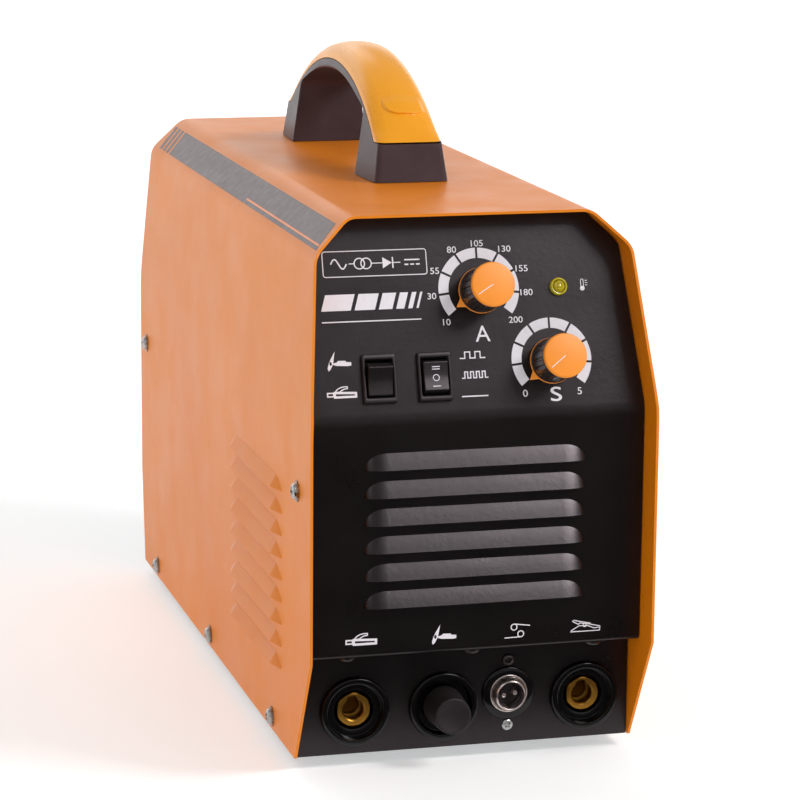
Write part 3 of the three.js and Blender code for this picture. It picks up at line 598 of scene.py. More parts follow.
def louvre_place(size, index, u, along):
    """Height and outward rise of a louvre's surface, u = 0 at its top edge and 1 at its lip.

    The ends are flat facets where "curve" is 1 and quarter ellipses where it is 2.
    """
    taper, curve = size["taper"], size["curve"]
    past = abs(along - size["at"]) - (size["length"] / 2 - taper)
    end = min(1, max(0, past / taper))
    share = (1 - end**curve) ** (1 / curve)
    lip = size["top"] - size["pitch"] * index - size["height"]
    return lip + size["height"] * share * (1 - u), size["depth"] * share * u ** 0.9


def louvre_columns(size):
    """Places along a louvre, close together round its two ends."""
    taper = size["taper"]
    half = size["length"] / 2
    ends = [half - taper * (1 - math.sin(math.pi / 2 * k / 9)) for k in range(10)]
    inner = [size["at"] + x for x in spread(-half + taper + 0.5, half - taper - 0.5, 6)]
    return [size["at"] - x for x in reversed(ends)] + inner + [size["at"] + x for x in ends]


def louvre_rows(size):
    """(kind, index, u) rows from the lowest louvre up: the sheet below a lip, then lip to top."""
    rows = []
    for index in reversed(range(size["count"])):
        rows.append(("sheet", index, 1))
        rows += [("louvre", index, u) for u in reversed(LOUVRE_STEPS)]
    return rows


def slot_under(size, row, start, end):
    """True where the sheet is cut open between a lip and the row below it."""
    return row[0] == "sheet" and louvre_place(size, row[1], 1, (start + end) / 2)[1] > 0.3


def cover_rows():
    """Rows of the cover's right half, from its lower edge to the middle of its top."""
    (x0, z0), (x1, z1), (x2, z2), (x3, z3) = COVER_SECTION
    field = louvre_rows(SIDE_LOUVRE)
    below_corner = 2  # louvres that end below the nose's lower corner
    corner = ("corner", SIDE_LOUVRE["count"] - below_corner, NOSE_PROFILE[1][0])
    field.insert(below_corner * (len(LOUVRE_STEPS) + 1), corner)
    below = [("bend", x0, z) for z in (0, 1.5, 15, 28)]
    above = [("bend", x0, z) for z in (126, 135, 144)]
    bends = fillet((x0, z0), (x1, z1), (x2, z2), 9, 4)
    bends += fillet((x1, z1), (x2, z2), (x3, z3), BEND, 5)
    bends += fillet((x2, z2), (x3, z3), (0, z3), BEND, 5)
    bends += [(40, z3), (20, z3), (0, z3)]
    return below + field + above + [("bend", x, z) for x, z in bends]


def cover_place(row, along):
    """x and z on the cover for a row, at a distance back from the nose."""
    kind, a, b = row
    x = COVER_SECTION[0][0]
    if kind == "louvre":
        z, rise = louvre_place(SIDE_LOUVRE, a, b, along)
        return x + rise, z
    if kind == "sheet":
        return x, louvre_place(SIDE_LOUVRE, a, 1, along)[0]
    if kind == "corner":
        return x, max(b, louvre_place(SIDE_LOUVRE, a, 0, along)[0] + 0.25)
    return a, b


def make_cover():
    rows = cover_rows()
    ends = 2
    places = [-9, -8, 38, 48] + louvre_columns(SIDE_LOUVRE) + [170, 230, 290, 345, 998, 999]
    last = len(places) - 1

    def point(i, j):
        x, z = cover_place(rows[i], places[j])
        y = places[j]
        if j < ends:
            y = table_value(NOSE_PROFILE, z) + 1.5 * j
        elif j > last - ends:
            y = table_value(TAIL_PROFILE, z) - 1.5 * (last - j)
        return (x, y, z)

    bm = grid(
        len(rows),
        len(places),
        point,
        skip=lambda i, j: slot_under(SIDE_LOUVRE, rows[i], places[j], places[j + 1]),
    )
    half = bm.copy()
    half.transform(Matrix.Scale(-1, 4, (1, 0, 0)))
    bmesh.ops.reverse_faces(half, faces=half.faces)
    bm = joined([bm, half])
    bmesh.ops.remove_doubles(bm, verts=bm.verts, dist=0.004)

    def from_the_middle(face):
        at = face.calc_center_median()
        return at - Vector((0, at.y, 100))

    orient(bm, from_the_middle)
    thicken(bm, SHEET)
    cover = piece("cover_shell", bm, COVER_PAINT, MACHINE, ["cover"], 32)
    return weighted(cover)


def orient(bm, outward):
    """Turns every face so that it looks the way outward(face) points."""
    bm.normal_update()
    wrong = [face for face in bm.faces if face.normal.dot(outward(face)) < 0]
    bmesh.ops.reverse_faces(bm, faces=wrong)


# ---- front panel ------------------------------------------------------------------------

KNEE_RADIUS = 3
LEDGE_RADIUS = 2.2
PANEL_TOP = COVER_TOP - 1.9


def panel_half_width(z):
    """Half-width of the front panel, which fits inside the cover."""
    inset = SHEET + 0.5
    (x0, _), (x1, z1), (x2, z2), (x3, z3) = COVER_SECTION
    side = table_value([(0, x0), (z1, x1), (z2, x2)], z) - inset
    slope = Vector((z3 - z2, x2 - x3)).normalized()
    chamfer = ((Vector((x2, z2)).dot(slope) - inset) - z * slope.y) / slope.x
    return min(side, chamfer)


def panel_rows():
    """Rows of the front panel from its lower edge up: ("bend", y, z) or louvre rows."""
    rise = PANEL_TOP - PANEL_KNEE
    top = (PANEL_Y + rise * math.tan(PANEL_LEAN), PANEL_TOP)
    knee = (PANEL_Y, PANEL_KNEE)
    edge = (PANEL_Y, PANEL_LEDGE)
    under = (SOCKET_Y, PANEL_LEDGE - 1)
    low = [("bend", SOCKET_Y, z) for z in (0, 10, 22, 34)]
    low += [("bend", y, z) for y, z in fillet((SOCKET_Y, 20), under, edge, 2, 3)]
    low += [("bend", y, z) for y, z in fillet(under, edge, knee, LEDGE_RADIUS, 4)]
    middle = [("bend", PANEL_Y, z) for z in (58, 66)]
    above = [("bend", PANEL_Y, z) for z in (142.5, 147)]
    above += [("bend", y, z) for y, z in fillet(edge, knee, top, KNEE_RADIUS, 4)]
    heights = (170, 190, 206, 222, 230)
    lean = [(PANEL_Y + (z - PANEL_KNEE) * math.tan(PANEL_LEAN), z) for z in heights]
    upper = [("bend", y, z) for y, z in lean + [top]]
    return low + middle + louvre_rows(FRONT_LOUVRE) + above + upper


def make_front_panel():
    rows = panel_rows()
    middle = [-50.5] + louvre_columns(FRONT_LOUVRE) + [50.5]
    places = [-999, -998] + middle + [998, 999]
    last = len(places) - 1

    def point(i, j):
        kind, a, b = rows[i]
        y, z = a, b
        if kind == "louvre":
            z, rise = louvre_place(FRONT_LOUVRE, a, b, places[j])
            y = PANEL_Y - rise
        elif kind == "sheet":
            y, z = PANEL_Y, louvre_place(FRONT_LOUVRE, a, 1, places[j])[0]
        x = places[j]
        half = panel_half_width(z)
        if abs(x) > 900:
            from_rim = min(j, last - j)
            x = math.copysign(half - 1.2 * from_rim, x)
        return (x, y, z)

    bm = grid(
        len(rows),
        len(places),
        point,
        skip=lambda i, j: slot_under(FRONT_LOUVRE, rows[i], places[j], places[j + 1]),
    )
    bmesh.ops.remove_doubles(bm, verts=bm.verts, dist=0.004)
    orient(bm, lambda face: Vector((0, -1, 0.05)))
    thicken(bm, SHEET)
    panel = piece("front_panel_sheet", bm, PANEL_PAINT, MACHINE, ["front_panel"], 32)
    sockets = [(at, 13.4) for at in (LEFT_SOCKET, TORCH_SOCKET, RIGHT_SOCKET)]
    sockets += [(TRIGGER_SOCKET, 8.3)]
    cut_shapes(panel, SOCKETS, [prism(ring(radius, 64, *at), -4, 4) for at, radius in sockets])
    switches = (MODE_SWITCH, PULSE_SWITCH)
    cut_shapes(panel, CONTROL, [prism(rectangle(13.2, 19.4, *at), -4, 4) for at in switches])
    return weighted(panel)


def cut_shapes(obj, face, shapes):
    """Cuts several prisms, given in a face's own millimetres, out of a piece."""
    cutter = joined(shapes)
    cutter.transform(face)
    cut_with(obj, cutter)


def cut_with(obj, cutter):
    """Takes a bmesh's volume out of an object."""
    tool = new_object("cutter", cutter)
    modifier = obj.modifiers.new("cut", "BOOLEAN")
    modifier.operation = "DIFFERENCE"
    modifier.solver = "EXACT"
    modifier.object = tool
    graph = bpy.context.evaluated_depsgraph_get()
    result = bpy.data.meshes.new_from_object(obj.evaluated_get(graph))
    obj.modifiers.remove(modifier)
    obj.data = result
    bpy.data.objects.remove(tool)


# ---- handle -----------------------------------------------------------------------------

HANDLE_Y = 220
HANDLE_HALF = 95
CAP_HALF = 92
CAP_LIP = 256.5
OUTER_ARCH = (131.4, 294.6)  # radius and top
SEAM_ARCH = (133, 286.6)
UNDER_ARCH = (178, 281)
SEAM_HALF = 84
LEG_INNER = 62.5
CROWN = 3.2
THUMB_PAD = {"angle": -32.4, "x": 1.6, "radius": 9.9, "rise": 1.1}
HANDLE = MACHINE @ Matrix.Translation((0, HANDLE_Y, 0))


def arch_z(arch, y):
    radius, top = arch
    return top - radius + math.sqrt(radius * radius - y * y)


def arch_point(arch, half, t):
    """Point on an arch at t from -1 to 1, evenly by angle, in (y, z) from the handle's middle."""
    angle = math.asin(half / arch[0]) * t
    return (arch[0] * math.sin(angle), arch[1] - arch[0] + arch[0] * math.cos(angle))


def handle_half_width(y, z):
    return 20.7 - 3.4 * (y / HANDLE_HALF) ** 2 - 0.14 * (z - COVER_TOP)


def handle_section(depth, low, high, across):
    """Loop of (x share, d) round the handle; its corners are rounded by low and high."""
    typical = 14
    corner = [math.pi / 2 * k / 5 for k in range(6)]
    right = [(typical - low * (1 - math.sin(a)), low * (1 - math.cos(a))) for a in corner]
    for a in corner:
        right.append((typical - high * (1 - math.cos(a)), depth - high * (1 - math.sin(a))))
    top = [(x, depth) for x in spread(typical - high, high - typical, across)[1:-1]]
    left = [(-x, d) for x, d in reversed(right)]
    return [(x / typical, d) for x, d in right + top + left]


def handle_loft(stations, across, lift=None):
    """Skins the handle from (inner, outer, low radius, high radius) stations, with closed ends."""
    loops = []
    for inner, outer, low, high in stations:
        inner, outer = Vector(inner), Vector(outer)
        along = (outer - inner).normalized()
        loop = []
        for share, d in handle_section((outer - inner).length, low, high, across):
            y, z = inner + along * d
            point = Vector((share * handle_half_width(y, z), y, z))
            loop.append(lift(point, share, d / (outer - inner).length, along) if lift else point)
        loops.append(loop)
    return skin(loops)


def smoothstep(x, low, high):
    t = min(1, max(0, (x - low) / (high - low)))
    return t * t * (3 - 2 * t)


def cap_surface(point, share, depth_share, along):
    """Crowns the cap's upper side and raises the thumb pad's lower edge on its front slope."""
    x, y, z = point
    fade = smoothstep(z, 257, 264)
    drop = CROWN * share * share * depth_share * fade
    angle = math.asin(max(-1, min(1, y / OUTER_ARCH[0])))
    up = (angle - math.radians(THUMB_PAD["angle"])) * OUTER_ARCH[0]
    squareness = 2.5
    away = abs(x - THUMB_PAD["x"]) ** squareness + abs(up) ** squareness
    distance = away ** (1 / squareness) / THUMB_PAD["radius"]
    pad = (1 - smoothstep(distance, 0.95, 1.02)) * (1 - smoothstep(up, -3, 5))
    rise = THUMB_PAD["rise"] * pad * (1 if depth_share > 0.98 else 0)
    return Vector((x, y + along.x * rise, z + along.y * rise - drop))


def make_handle_cap():
    start = math.degrees(math.asin(CAP_HALF / OUTER_ARCH[0]))
    pad = THUMB_PAD["angle"]
    angles = spread(-start, pad - 5, 5)[:-1] + spread(pad - 5, pad + 3, 60)[:-1]
    angles += spread(pad + 3, start, 48)
    stations = []
    for angle in angles:
        t = angle / start
        inner = arch_point(SEAM_ARCH, SEAM_HALF, t)
        outer = arch_point(OUTER_ARCH, CAP_HALF, t)
        stations.append((inner, outer, 0.25, 4.6))
    bm = handle_loft(stations, 96, cap_surface)
    bevel_sharp(bm, 0.3, 60, 2)
    replaced = ["handle_cap"]
    shell = piece("handle_cap_shell", bm, GLOSS_ORANGE, HANDLE, replaced, 40)
    return weighted(shell)


def path_point(points, t):
    """Point at a share t of a polyline's length."""
    points = [Vector(p) for p in points]
    lengths = [(b - a).length for a, b in zip(points, points[1:])]
    left = t * sum(lengths)
    for a, b, length in zip(points, points[1:], lengths):
        if left <= length:
            return a + (b - a) * (left / length)
        left -= length
    return points[-1]


def under_round(t):
    """Radius of the arch's lower edges: soft along the grip, small where it meets the legs."""
    return 0.9 + 2.3 * smoothstep(t, 0.12, 0.3) * (1 - smoothstep(t, 0.7, 0.88))


def make_handle_base():
    floor = COVER_TOP + 0.3
    seat = (SEAM_ARCH[0], SEAM_ARCH[1] - 0.3)
    legs = []
    for v in (0, 0.04, 0.5, 0.94, 1):
        outer = (-HANDLE_HALF + 3 * v, floor + (CAP_LIP - 0.3 - floor) * v)
        legs.append(((-LEG_INNER, floor + 22 * v), outer, 0.9, 2.3))
    under = [(y, arch_z(UNDER_ARCH, y)) for y in spread(-56, 56, 24)]
    corner = (-LEG_INNER, arch_z(UNDER_ARCH, LEG_INNER))
    left = fillet((-LEG_INNER, floor + 24), corner, under[0], 5, 5)
    right = [(-y, z) for y, z in reversed(left)]
    inside = [(-LEG_INNER, floor + 24)] + left + under + right + [(LEG_INNER, floor + 24)]
    arch = []
    for k in range(61):
        t = k / 60
        above = arch_point(seat, SEAM_HALF, 2 * t - 1)
        arch.append((path_point(inside, t), above, under_round(t), 0.3))
    far_legs = [((-i[0], i[1]), (-o[0], o[1]), low, high) for i, o, low, high in reversed(legs)]
    bm = handle_loft(legs + arch + far_legs, 4)
    base = piece("handle_frame", bm, HANDLE_BLACK, HANDLE, ["handle_base"], 32)
    return weighted(base)


# ---- knobs ------------------------------------------------------------------------------

KNOB_TOP = 21.4
SKIRT_RADIUS = 10
POINTER_REACH = 13.4
FLUTES = 18
FLUTE = [(0, 0.4), (0.04, 0.36), (0.1, 0.04), (0.3, 0)]
FLUTE += [(0.5, 0), (0.7, 0), (0.9, 0.04), (0.96, 0.36)]


def knob_loop(radius, height, relief):
    loop = []
    for k in range(FLUTES):
        for step, depth in FLUTE:
            angle = 2 * math.pi * (k + step) / FLUTES
            loop.append((*polar(radius - depth * relief, angle), height))
    return loop


def make_knob(name, at, pointer_angle):
    body = f"{name}_knob"
    matrix = on(CONTROL, *at)
    turned = matrix @ Matrix.Rotation(math.radians(pointer_angle), 4, "Z")
    rows = [(9.7, 2.1, 0), (9.82, 2.25, 0), (9.82, 3, 0), (9.6, 3.15, 0.6), (9.53, 3.4, 1)]
    rows += [(9.45, 18.2, 1), (9.44, 18.6, 1), (9.3, 19.1, 0.6), (9, 19.5, 0.2)]
    fluted = skin([knob_loop(*row) for row in rows])
    # the grip's lighter colour is a painted reflection
    weighted(piece(f"{body}_grip", fluted, GRIP_PAINTED_SHEEN, matrix, [body], 30, body))
    top = [(0, 19.6), (9.5, 19.6), (9.65, 19.75), (9.65, 20.6), (9.55, 21), (9.25, 21.3)]
    top += [(8.8, KNOB_TOP), (0, KNOB_TOP)]
    piece(f"{body}_disc", lathe(top, 72), KNOB_ORANGE, matrix, [f"{body}_cap"], 40, body)
    line = stroke([(0.2, 0), (8.2, 0)], 0.34, KNOB_TOP)
    piece(f"{body}_line", line, INK, turned, body=body)
    skirt = arc(SKIRT_RADIUS, 0.23, 2 * math.pi - 0.23, 0, 0, 60) + [(POINTER_REACH, 0)]
    pointer = skin([[(x, y, z) for x, y in skirt] for z in (1.1, 2)])
    bevel_sharp(pointer, 0.2, 60, 2)
    piece(f"{body}_index", pointer, KNOB_ORANGE, turned, [f"{body}_pointer"], 50, body)


# ---- printed marks ----------------------------------------------------------------------

FILM = 0.05


def stroke(points, width, out=0.0, closed=False):
    """A flat printed line of a given width through (x, y) points."""
    path = [Vector(p) for p in points]
    count = len(path)
    left, right = [], []
    for i, at in enumerate(path):
        before = path[i - 1] if i or closed else None
        after = path[(i + 1) % count] if i < count - 1 or closed else None
        pairs = [(a, b) for a, b in ((before, at), (at, after)) if a is not None and b is not None]
        runs = [(b - a).normalized() for a, b in pairs]
        normal = sum((Vector((-r.y, r.x)) for r in runs), Vector((0, 0))).normalized()
        reach = width / 2 / max(0.4, normal.dot(Vector((-runs[0].y, runs[0].x))))
        left.append(at + normal * reach)
        right.append(at - normal * reach)
    top = out + FILM
    loops = [[(*a, out), (*b, out), (*b, top), (*a, top)] for a, b in zip(left, right)]
    return closed_skin(loops) if closed else skin(loops)


def patch(outline):
    """A filled printed shape."""
    return prism(outline, 0, FILM)


def arc(radius, start, end, x, y, steps):
    return [(x + radius * math.cos(a), y + radius * math.sin(a)) for a in spread(start, end, steps)]


def lettering(text, height, x, y, weight=0.0, stretch=1.0):
    """Plain figures from Blender's own font, centred on (x, y), with a given height."""
    curve = bpy.data.curves.new("figures", "FONT")
    curve.body = text
    curve.offset = weight
    curve.extrude = 0.01
    temporary = bpy.data.objects.new("figures", curve)
    mesh = bpy.data.meshes.new_from_object(temporary)
    bm = bmesh.new()
    bm.from_mesh(mesh)
    bpy.data.objects.remove(temporary)
    bpy.data.meshes.remove(mesh)
    xs = [v.co.x for v in bm.verts]
    ys = [v.co.y for v in bm.verts]
    scale = height / (max(ys) - min(ys))
    centre = Vector(((min(xs) + max(xs)) / 2, (min(ys) + max(ys)) / 2, 0))
    for vert in bm.verts:
        flat = (vert.co - centre) * scale
        vert.co = (x + flat.x * stretch, y + flat.y, FILM if vert.co.z > 0 else 0)
    return bm


def dial_marks(at):
    """A ring of eight segments, open at the bottom."""
    start, end, count = math.radians(218), math.radians(-38), 8
    inner, outer, gap = 13.6, 18.1, 1.0
    marks = []
    for k in range(count):
        a = start + (end - start) * k / count
        b = start + (end - start) * (k + 1) / count
        first = gap / 2 if k else 0
        last = gap / 2 if k < count - 1 else 0
        outline = arc(outer, a - first / outer, b + last / outer, *at, 10)
        outline += arc(inner, b + last / inner, a - first / inner, *at, 10)
        marks.append(patch(outline))
    return marks


def scaled(x, y, scale, points):
    return [(x + u * scale, y + v * scale) for u, v in points]


def torch_icon(x, y, width):
    """A TIG torch seen from the side: a slender head with a hole, and its grip."""
    s = width / 11
    half_turn = spread(-math.pi / 2, math.pi / 2, 8)
    hole = [(1.75 + 0.55 * math.cos(a), 3.3 + 0.9 * math.sin(a)) for a in half_turn]
    far_hole = [(3.5 - u, v) for u, v in hole]
    tip, foot = [(3.9, 8.7)], [(0.6, -0.1)]
    near = [(3.35, 5.7), (2.95, 3.3), (1.5, 0.6)] + foot + hole
    far = [(1.9, 5.4), (0.9, 3.4), (0.2, 1.2)] + foot + far_hole
    grip = [(2.9, 2.75), (4.3, 2.3), (9.6, 2), (11.1, 2.2), (11.1, 3.7)]
    grip += [(9, 3.8), (8.5, 4.4), (5.2, 4.5), (4.5, 3.8), (2.9, 3.4)]
    return [patch(scaled(x, y, s, outline)) for outline in (tip + near, tip + far, grip)]


def holder_icon(x, y, width):
    """An electrode holder: jaw, barrel and lever."""
    s = width / 14.1
    jaw = [(0.35, 0.75), (3.2, 0.75), (3.2, 2.3), (0.35, 2.3)]
    barrel = [(3.75, 0.35), (13.65, 0.35), (13.65, 2), (3.75, 2.4)]
    arm = [(3.9, 2.7), (5, 3.9), (6.5, 4.7), (8.2, 5.05), (9.8, 5)]
    arm += [(9.8, 4.2), (8, 3.9), (6.9, 3.3), (6.1, 2.7)]
    lines = ((jaw, 0.65), (barrel, 1.05), (arm, 0.5))
    return [stroke(scaled(x, y, s, outline), width * s, 0, True) for outline, width in lines]


def clamp_icon(x, y, width):
    """An earth clamp: two sprung jaws round a pivot."""
    s = width / 14
    lower = [(0, 0.1), (13.6, 0.1), (13.8, 1.5), (11, 1.3), (8, 2.6), (4, 2.7), (0.3, 0.6)]
    upper = [(0.8, 5.2), (1.4, 4.6), (3.6, 3.4), (4.4, 4), (8.6, 3.3), (13.9, 2)]
    back = [(1.4, 5.4), (5.6, 4.4), (9.4, 3.6)]
    lines = [stroke(scaled(x, y, s, points), 0.4 * s) for points in (lower, upper, back)]
    return lines + [stroke(scaled(x, y, s, ring(0.75, 16, 6.6, 2.9)), 0.4 * s, 0, True)]


def trigger_icon(x, y, width):
    """Two contacts of a remote switch."""
    s = width / 11.7
    line_width = 0.45 * s
    rings = [ring(1.35, 20, *at) for at in ((4.3, 4.9), (7.4, 1.7))]
    wires = ([(4.3, 6.3), (11.6, 5.3)], [(0, 0.2), (7.4, 0.35)])
    marks = [stroke(scaled(x, y, s, points), line_width, 0, True) for points in rings]
    return marks + [stroke(scaled(x, y, s, points), line_width) for points in wires]


def square_wave(x, y, width, height, count):
    """A pulsed-current symbol."""
    step = width / (2 * count + 1)
    points = [(x, y)]
    for k in range(count):
        left = x + step * (2 * k + 1)
        points += [(left, y), (left, y + height), (left + step, y + height), (left + step, y)]
    points.append((x + width, y))
    return stroke(points, 0.5)


def supply_symbols(x, y):
    """Plain outlined plate with the signs for mains, transformer, rectifier and direct current."""
    plate = stroke(rounded_loop(rectangle(46, 11, x, y), 1.2), 0.4, 0, True)
    cycle = [(x - 19.5 + 7 * t, y + 2.1 * math.sin(2 * math.pi * t)) for t in spread(0, 1, 20)]
    wave = stroke(cycle, 0.6)
    coils = [stroke(ring(2.3, 24, x - 6.8 + dx, y), 0.5, 0, True) for dx in (0, 3)]
    diode = patch([(x + 3.5, y - 2.4), (x + 7.6, y), (x + 3.5, y + 2.4)])
    bar = stroke([(x + 8, y - 2.4), (x + 8, y + 2.4)], 0.6)
    spans = ((-11.5, -9.2), (-1.4, 3.4), (8.2, 11.4))
    wires = [stroke([(x + a, y), (x + b, y)], 0.4) for a, b in spans]
    direct = [stroke([(x + 13.2, y + 1), (x + 20, y + 1)], 0.6)]
    direct += [stroke([(x + 13.2 + a, y - 1), (x + 14.9 + a, y - 1)], 0.6) for a in (0, 2.55, 5.1)]
    return [plate, wave, diode, bar] + coils + wires + direct


def speed_bars(x, y):
    """Slanted bars that thin out to one side, over a thin rule."""
    marks = []
    left = x
    for width in (13, 9, 6, 3.6, 2, 1):
        outline = [(left, y), (left + width, y), (left + width + 2.2, y + 7), (left + 2.2, y + 7)]
        marks.append(patch(outline))
        left += width + 1.7
    marks.append(stroke([(x, y - 4.8), (x + 44, y - 4.8)], 0.5))
    return marks


def printed_layer(name, marks, matrix):
    """All the marks of one face, each a hair above the one before so that none of them overlap."""
    ink = merged([(mark, Matrix.Translation((0, 0, 0.0015 * k))) for k, mark in enumerate(marks)])
    piece(name, ink, INK, matrix)


def make_control_print():
    marks = dial_marks(CURRENT_DIAL) + dial_marks(SECONDS_DIAL)
    figures = [
        ("10", -10.8, 40.8),
        ("30", -16.65, 52.3),
        ("55", -14.6, 63.2),
        ("80", -6.4, 72.2),
        ("105", 5.15, 74.6),
        ("130", 17.4, 71.85),
        ("155", 24.55, 63),
        ("180", 26, 52.5),
        ("200", 20.2, 40.7),
    ]
    wide = 1.12
    marks += [lettering(text, 2.75, x, y, 0.005, wide) for text, x, y in figures]
    marks += [lettering(text, 3.1, x, 8.5, 0.004, wide) for text, x in (("0", 22.1), ("5", 46.75))]
    marks += [lettering("A", 6.9, 4.9, 35.2), lettering("s", 6.3, 36, 7.6, -0.006, 1.25)]
    marks += torch_icon(-65.1, 21.7, 10.6) + holder_icon(-66, 10.1, 13.2)
    marks += [square_wave(-6.2, 24.8, 11.5, 2.7, 2), square_wave(-5.8, 16.2, 11.8, 2.7, 4)]
    marks.append(stroke([(-6.4, 8.3), (5.4, 8.3)], 0.55))
    marks += supply_symbols(-41, 67.5) + speed_bars(-66, 47.4)
    marks += lamp_symbol(51.5, 54.7)
    printed_layer("control_panel_print", marks, on(CONTROL, 0, 0, 0.02))


def lamp_symbol(x, y):
    """Thermometer sign for the overload lamp."""
    stem = stroke(rounded_loop(rectangle(1.2, 3.4, x, y + 0.9), 0.5), 0.3, 0, True)
    bulb = patch(ring(1.05, 20, x, y - 1.4))
    ticks = [stroke([(x + 1.3, y + dy), (x + 2.4, y + dy)], 0.3) for dy in (0, 1, 2)]
    return [stem, bulb] + ticks


def make_vent_print():
    marks = holder_icon(-58.2, 53.8, 14.1) + torch_icon(-19.6, 51.9, 11.1)
    marks += trigger_icon(13.6, 52.4, 11.7) + clamp_icon(43.9, 53.3, 13.8)
    printed_layer("vent_panel_print", marks, on(VENT, 0, 0, 0.02))


# ---- rocker switches --------------------------------------------------------------------

# rim: how far the frame stands out; face and half: half the rocker's length and width;
# drop: its face's height over the pivot; travel: degrees from the middle
PANEL_SWITCH = dict(length=21.2, width=14.9, rim=2, face=6.2, half=5.4, drop=5.5, travel=14)
MAINS_SWITCH = dict(length=30, width=22, rim=2.2, face=9.2, half=8.4, drop=7.6, travel=13)


def rocker_pivot(size):
    travel = math.radians(size["travel"])
    return size["rim"] + 0.2 - size["drop"] * math.cos(travel) + size["face"] * math.sin(travel)


def switch_pocket(size):
    """Half-length and half-width of the opening that the rocker moves in."""
    half_length = math.hypot(size["face"] * 1.2, size["drop"] * 0.3) + 0.35
    return half_length, size["half"] + 0.4


def make_bezel(name, size, matrix):
    half_length, half_width = switch_pocket(size)
    floor = rocker_pivot(size) - size["drop"] * 0.5 - 2.5
    width, length, rim = size["width"], size["length"], size["rim"]

    def outer(inset, z):
        outline = rectangle(width - 2 * inset, length - 2 * inset)
        return [(x, y, z) for x, y in rounded_loop(outline, 0.9, 4)]

    def inner(grow, z):
        outline = rectangle(2 * (half_width + grow), 2 * (half_length + grow))
        return [(x, y, z) for x, y in rounded_loop(outline, 0.5, 4)]

    loops = [
        inner(0, floor - 1),
        outer(1, floor - 1),
        outer(1, 0.1),
        outer(0, 0.15),
        outer(0, rim - 0.7),
        outer(0.15, rim - 0.25),
        outer(0.5, rim),
        inner(0.75, rim),
        inner(0.55, rim - 0.1),
        inner(0.1, rim - 0.9),
        inner(0, rim - 1.1),
        inner(0, floor),
    ]
    bm = skin(loops)
    replaced = [f"{name}_switch_housing"]
    piece(f"{name}_bezel", bm, BEZEL_PLASTIC, matrix, replaced, 40)


def rocker_top(size, y):
    """Height of the rocker's dished face."""
    return size["drop"] - 0.8 * (1 - min(1, abs(y) / size["face"]) ** 1.5)


def make_rocker(name, size, matrix, tilt, marks):
    face, drop, half = size["face"], size["drop"], size["half"]
    top = [(y, rocker_top(size, y)) for y in spread(-face, face, 14)]
    tail = ((1.2, 0.3), (0.7, -0.3), (-0.7, -0.3), (-1.2, 0.3))
    outline = top + [(face * side, drop * height) for side, height in tail]
    bm = skin([[(x, y, z) for y, z in outline] for x in (-half, half)])
    bevel_sharp(bm, 0.4, 50, 3)
    place_at = on(matrix, 0, 0, rocker_pivot(size)) @ Matrix.Rotation(math.radians(tilt), 4, "X")
    replaced = [f"{name}_switch_rocker"]
    body = f"{name}_rocker"
    weighted(piece(f"{name}_paddle", bm, BLACK_PLASTIC, place_at, replaced, 45, body))
    if marks:
        ink = joined(marks)
        for vert in ink.verts:
            vert.co.z += rocker_top(size, vert.co.y) + 0.03
        piece(f"{name}_paddle_print", ink, INK, place_at, body=body)


def make_switches():
    lines = [stroke([(-1.7, y), (1.7, y)], 0.36) for y in (4, 3, -4.4)]
    circle_mark = stroke(ring(1.35, 28, 0, -0.7), 0.3, 0, True)
    for name, at, tilt, marks in (
        ("mode", MODE_SWITCH, PANEL_SWITCH["travel"], []),
        ("pulse", PULSE_SWITCH, 0, lines + [circle_mark]),
    ):
        make_bezel(name, PANEL_SWITCH, on(CONTROL, *at))
        make_rocker(name, PANEL_SWITCH, on(CONTROL, *at), tilt, marks)
    off_mark = stroke(ring(1.9, 28, 0, -5.2), 0.6, 0, True)
    on_mark = stroke([(0, 3.4), (0, 7)], 0.6)
    matrix = on(REAR, *POWER_SWITCH)
    make_bezel("power", MAINS_SWITCH, matrix)
    make_rocker("power", MAINS_SWITCH, matrix, MAINS_SWITCH["travel"], [off_mark, on_mark])


# ---- lamp -------------------------------------------------------------------------------


def make_lamp():
    matrix = on(CONTROL, *LAMP)
    rim = [(2.9, 0.1), (3.85, 0.1), (3.85, 1.1), (3.7, 1.5), (3.3, 1.8)]
    rim += [(3, 1.75), (2.9, 1.2), (2.9, 0.1)]
    piece("lamp_bezel", lathe(rim, 48), LENS, matrix, ["overload_lamp_bezel"], 40)
    dome = [(0, -3), (2.7, -3), (2.7, 1.2)]
    dome += [(2.7 * math.cos(a), 1.2 + 1.5 * math.sin(a)) for a in spread(0.1, 1.05, 5)]
    dome += [(1.1, 2.35), (0.9, 2.6), (0, 2.7)]
    lens = lathe(dome, 48)
    piece("lamp_lens", lens, LENS, matrix, ["overload_lamp_lens"], 50)


# ---- sockets ----------------------------------------------------------------------------

INSULATOR = [
    (8.9, -1),
    (8.9, -16),
    (12.8, -16),
    (12.8, 0.1),
    (15.6, 0.1),
    (15.8, 0.3),
    (15.78, 1),
    (15.4, 2.5),
    (15.2, 2.85),
    (14.8, 3),
    (13.1, 3),
    (12.8, 2.85),
    (12.65, 2.5),
    (12.2, -0.6),
    (12.05, -0.9),
    (11.7, -1),
    (8.9, -1),
]


def hex_radius(angle, across):
    """Distance to the side of a hexagon with a corner on the right."""
    step = math.pi / 3
    return across / 2 / math.cos((angle % step) - step / 2)


BORE_SEGMENTS = 96


def hexagon_loop(across, limit, z, turn=0.0):
    angles = [2 * math.pi * k / BORE_SEGMENTS for k in range(BORE_SEGMENTS)]
    return [(*polar(min(limit, hex_radius(a + turn, across)), a), z) for a in angles]


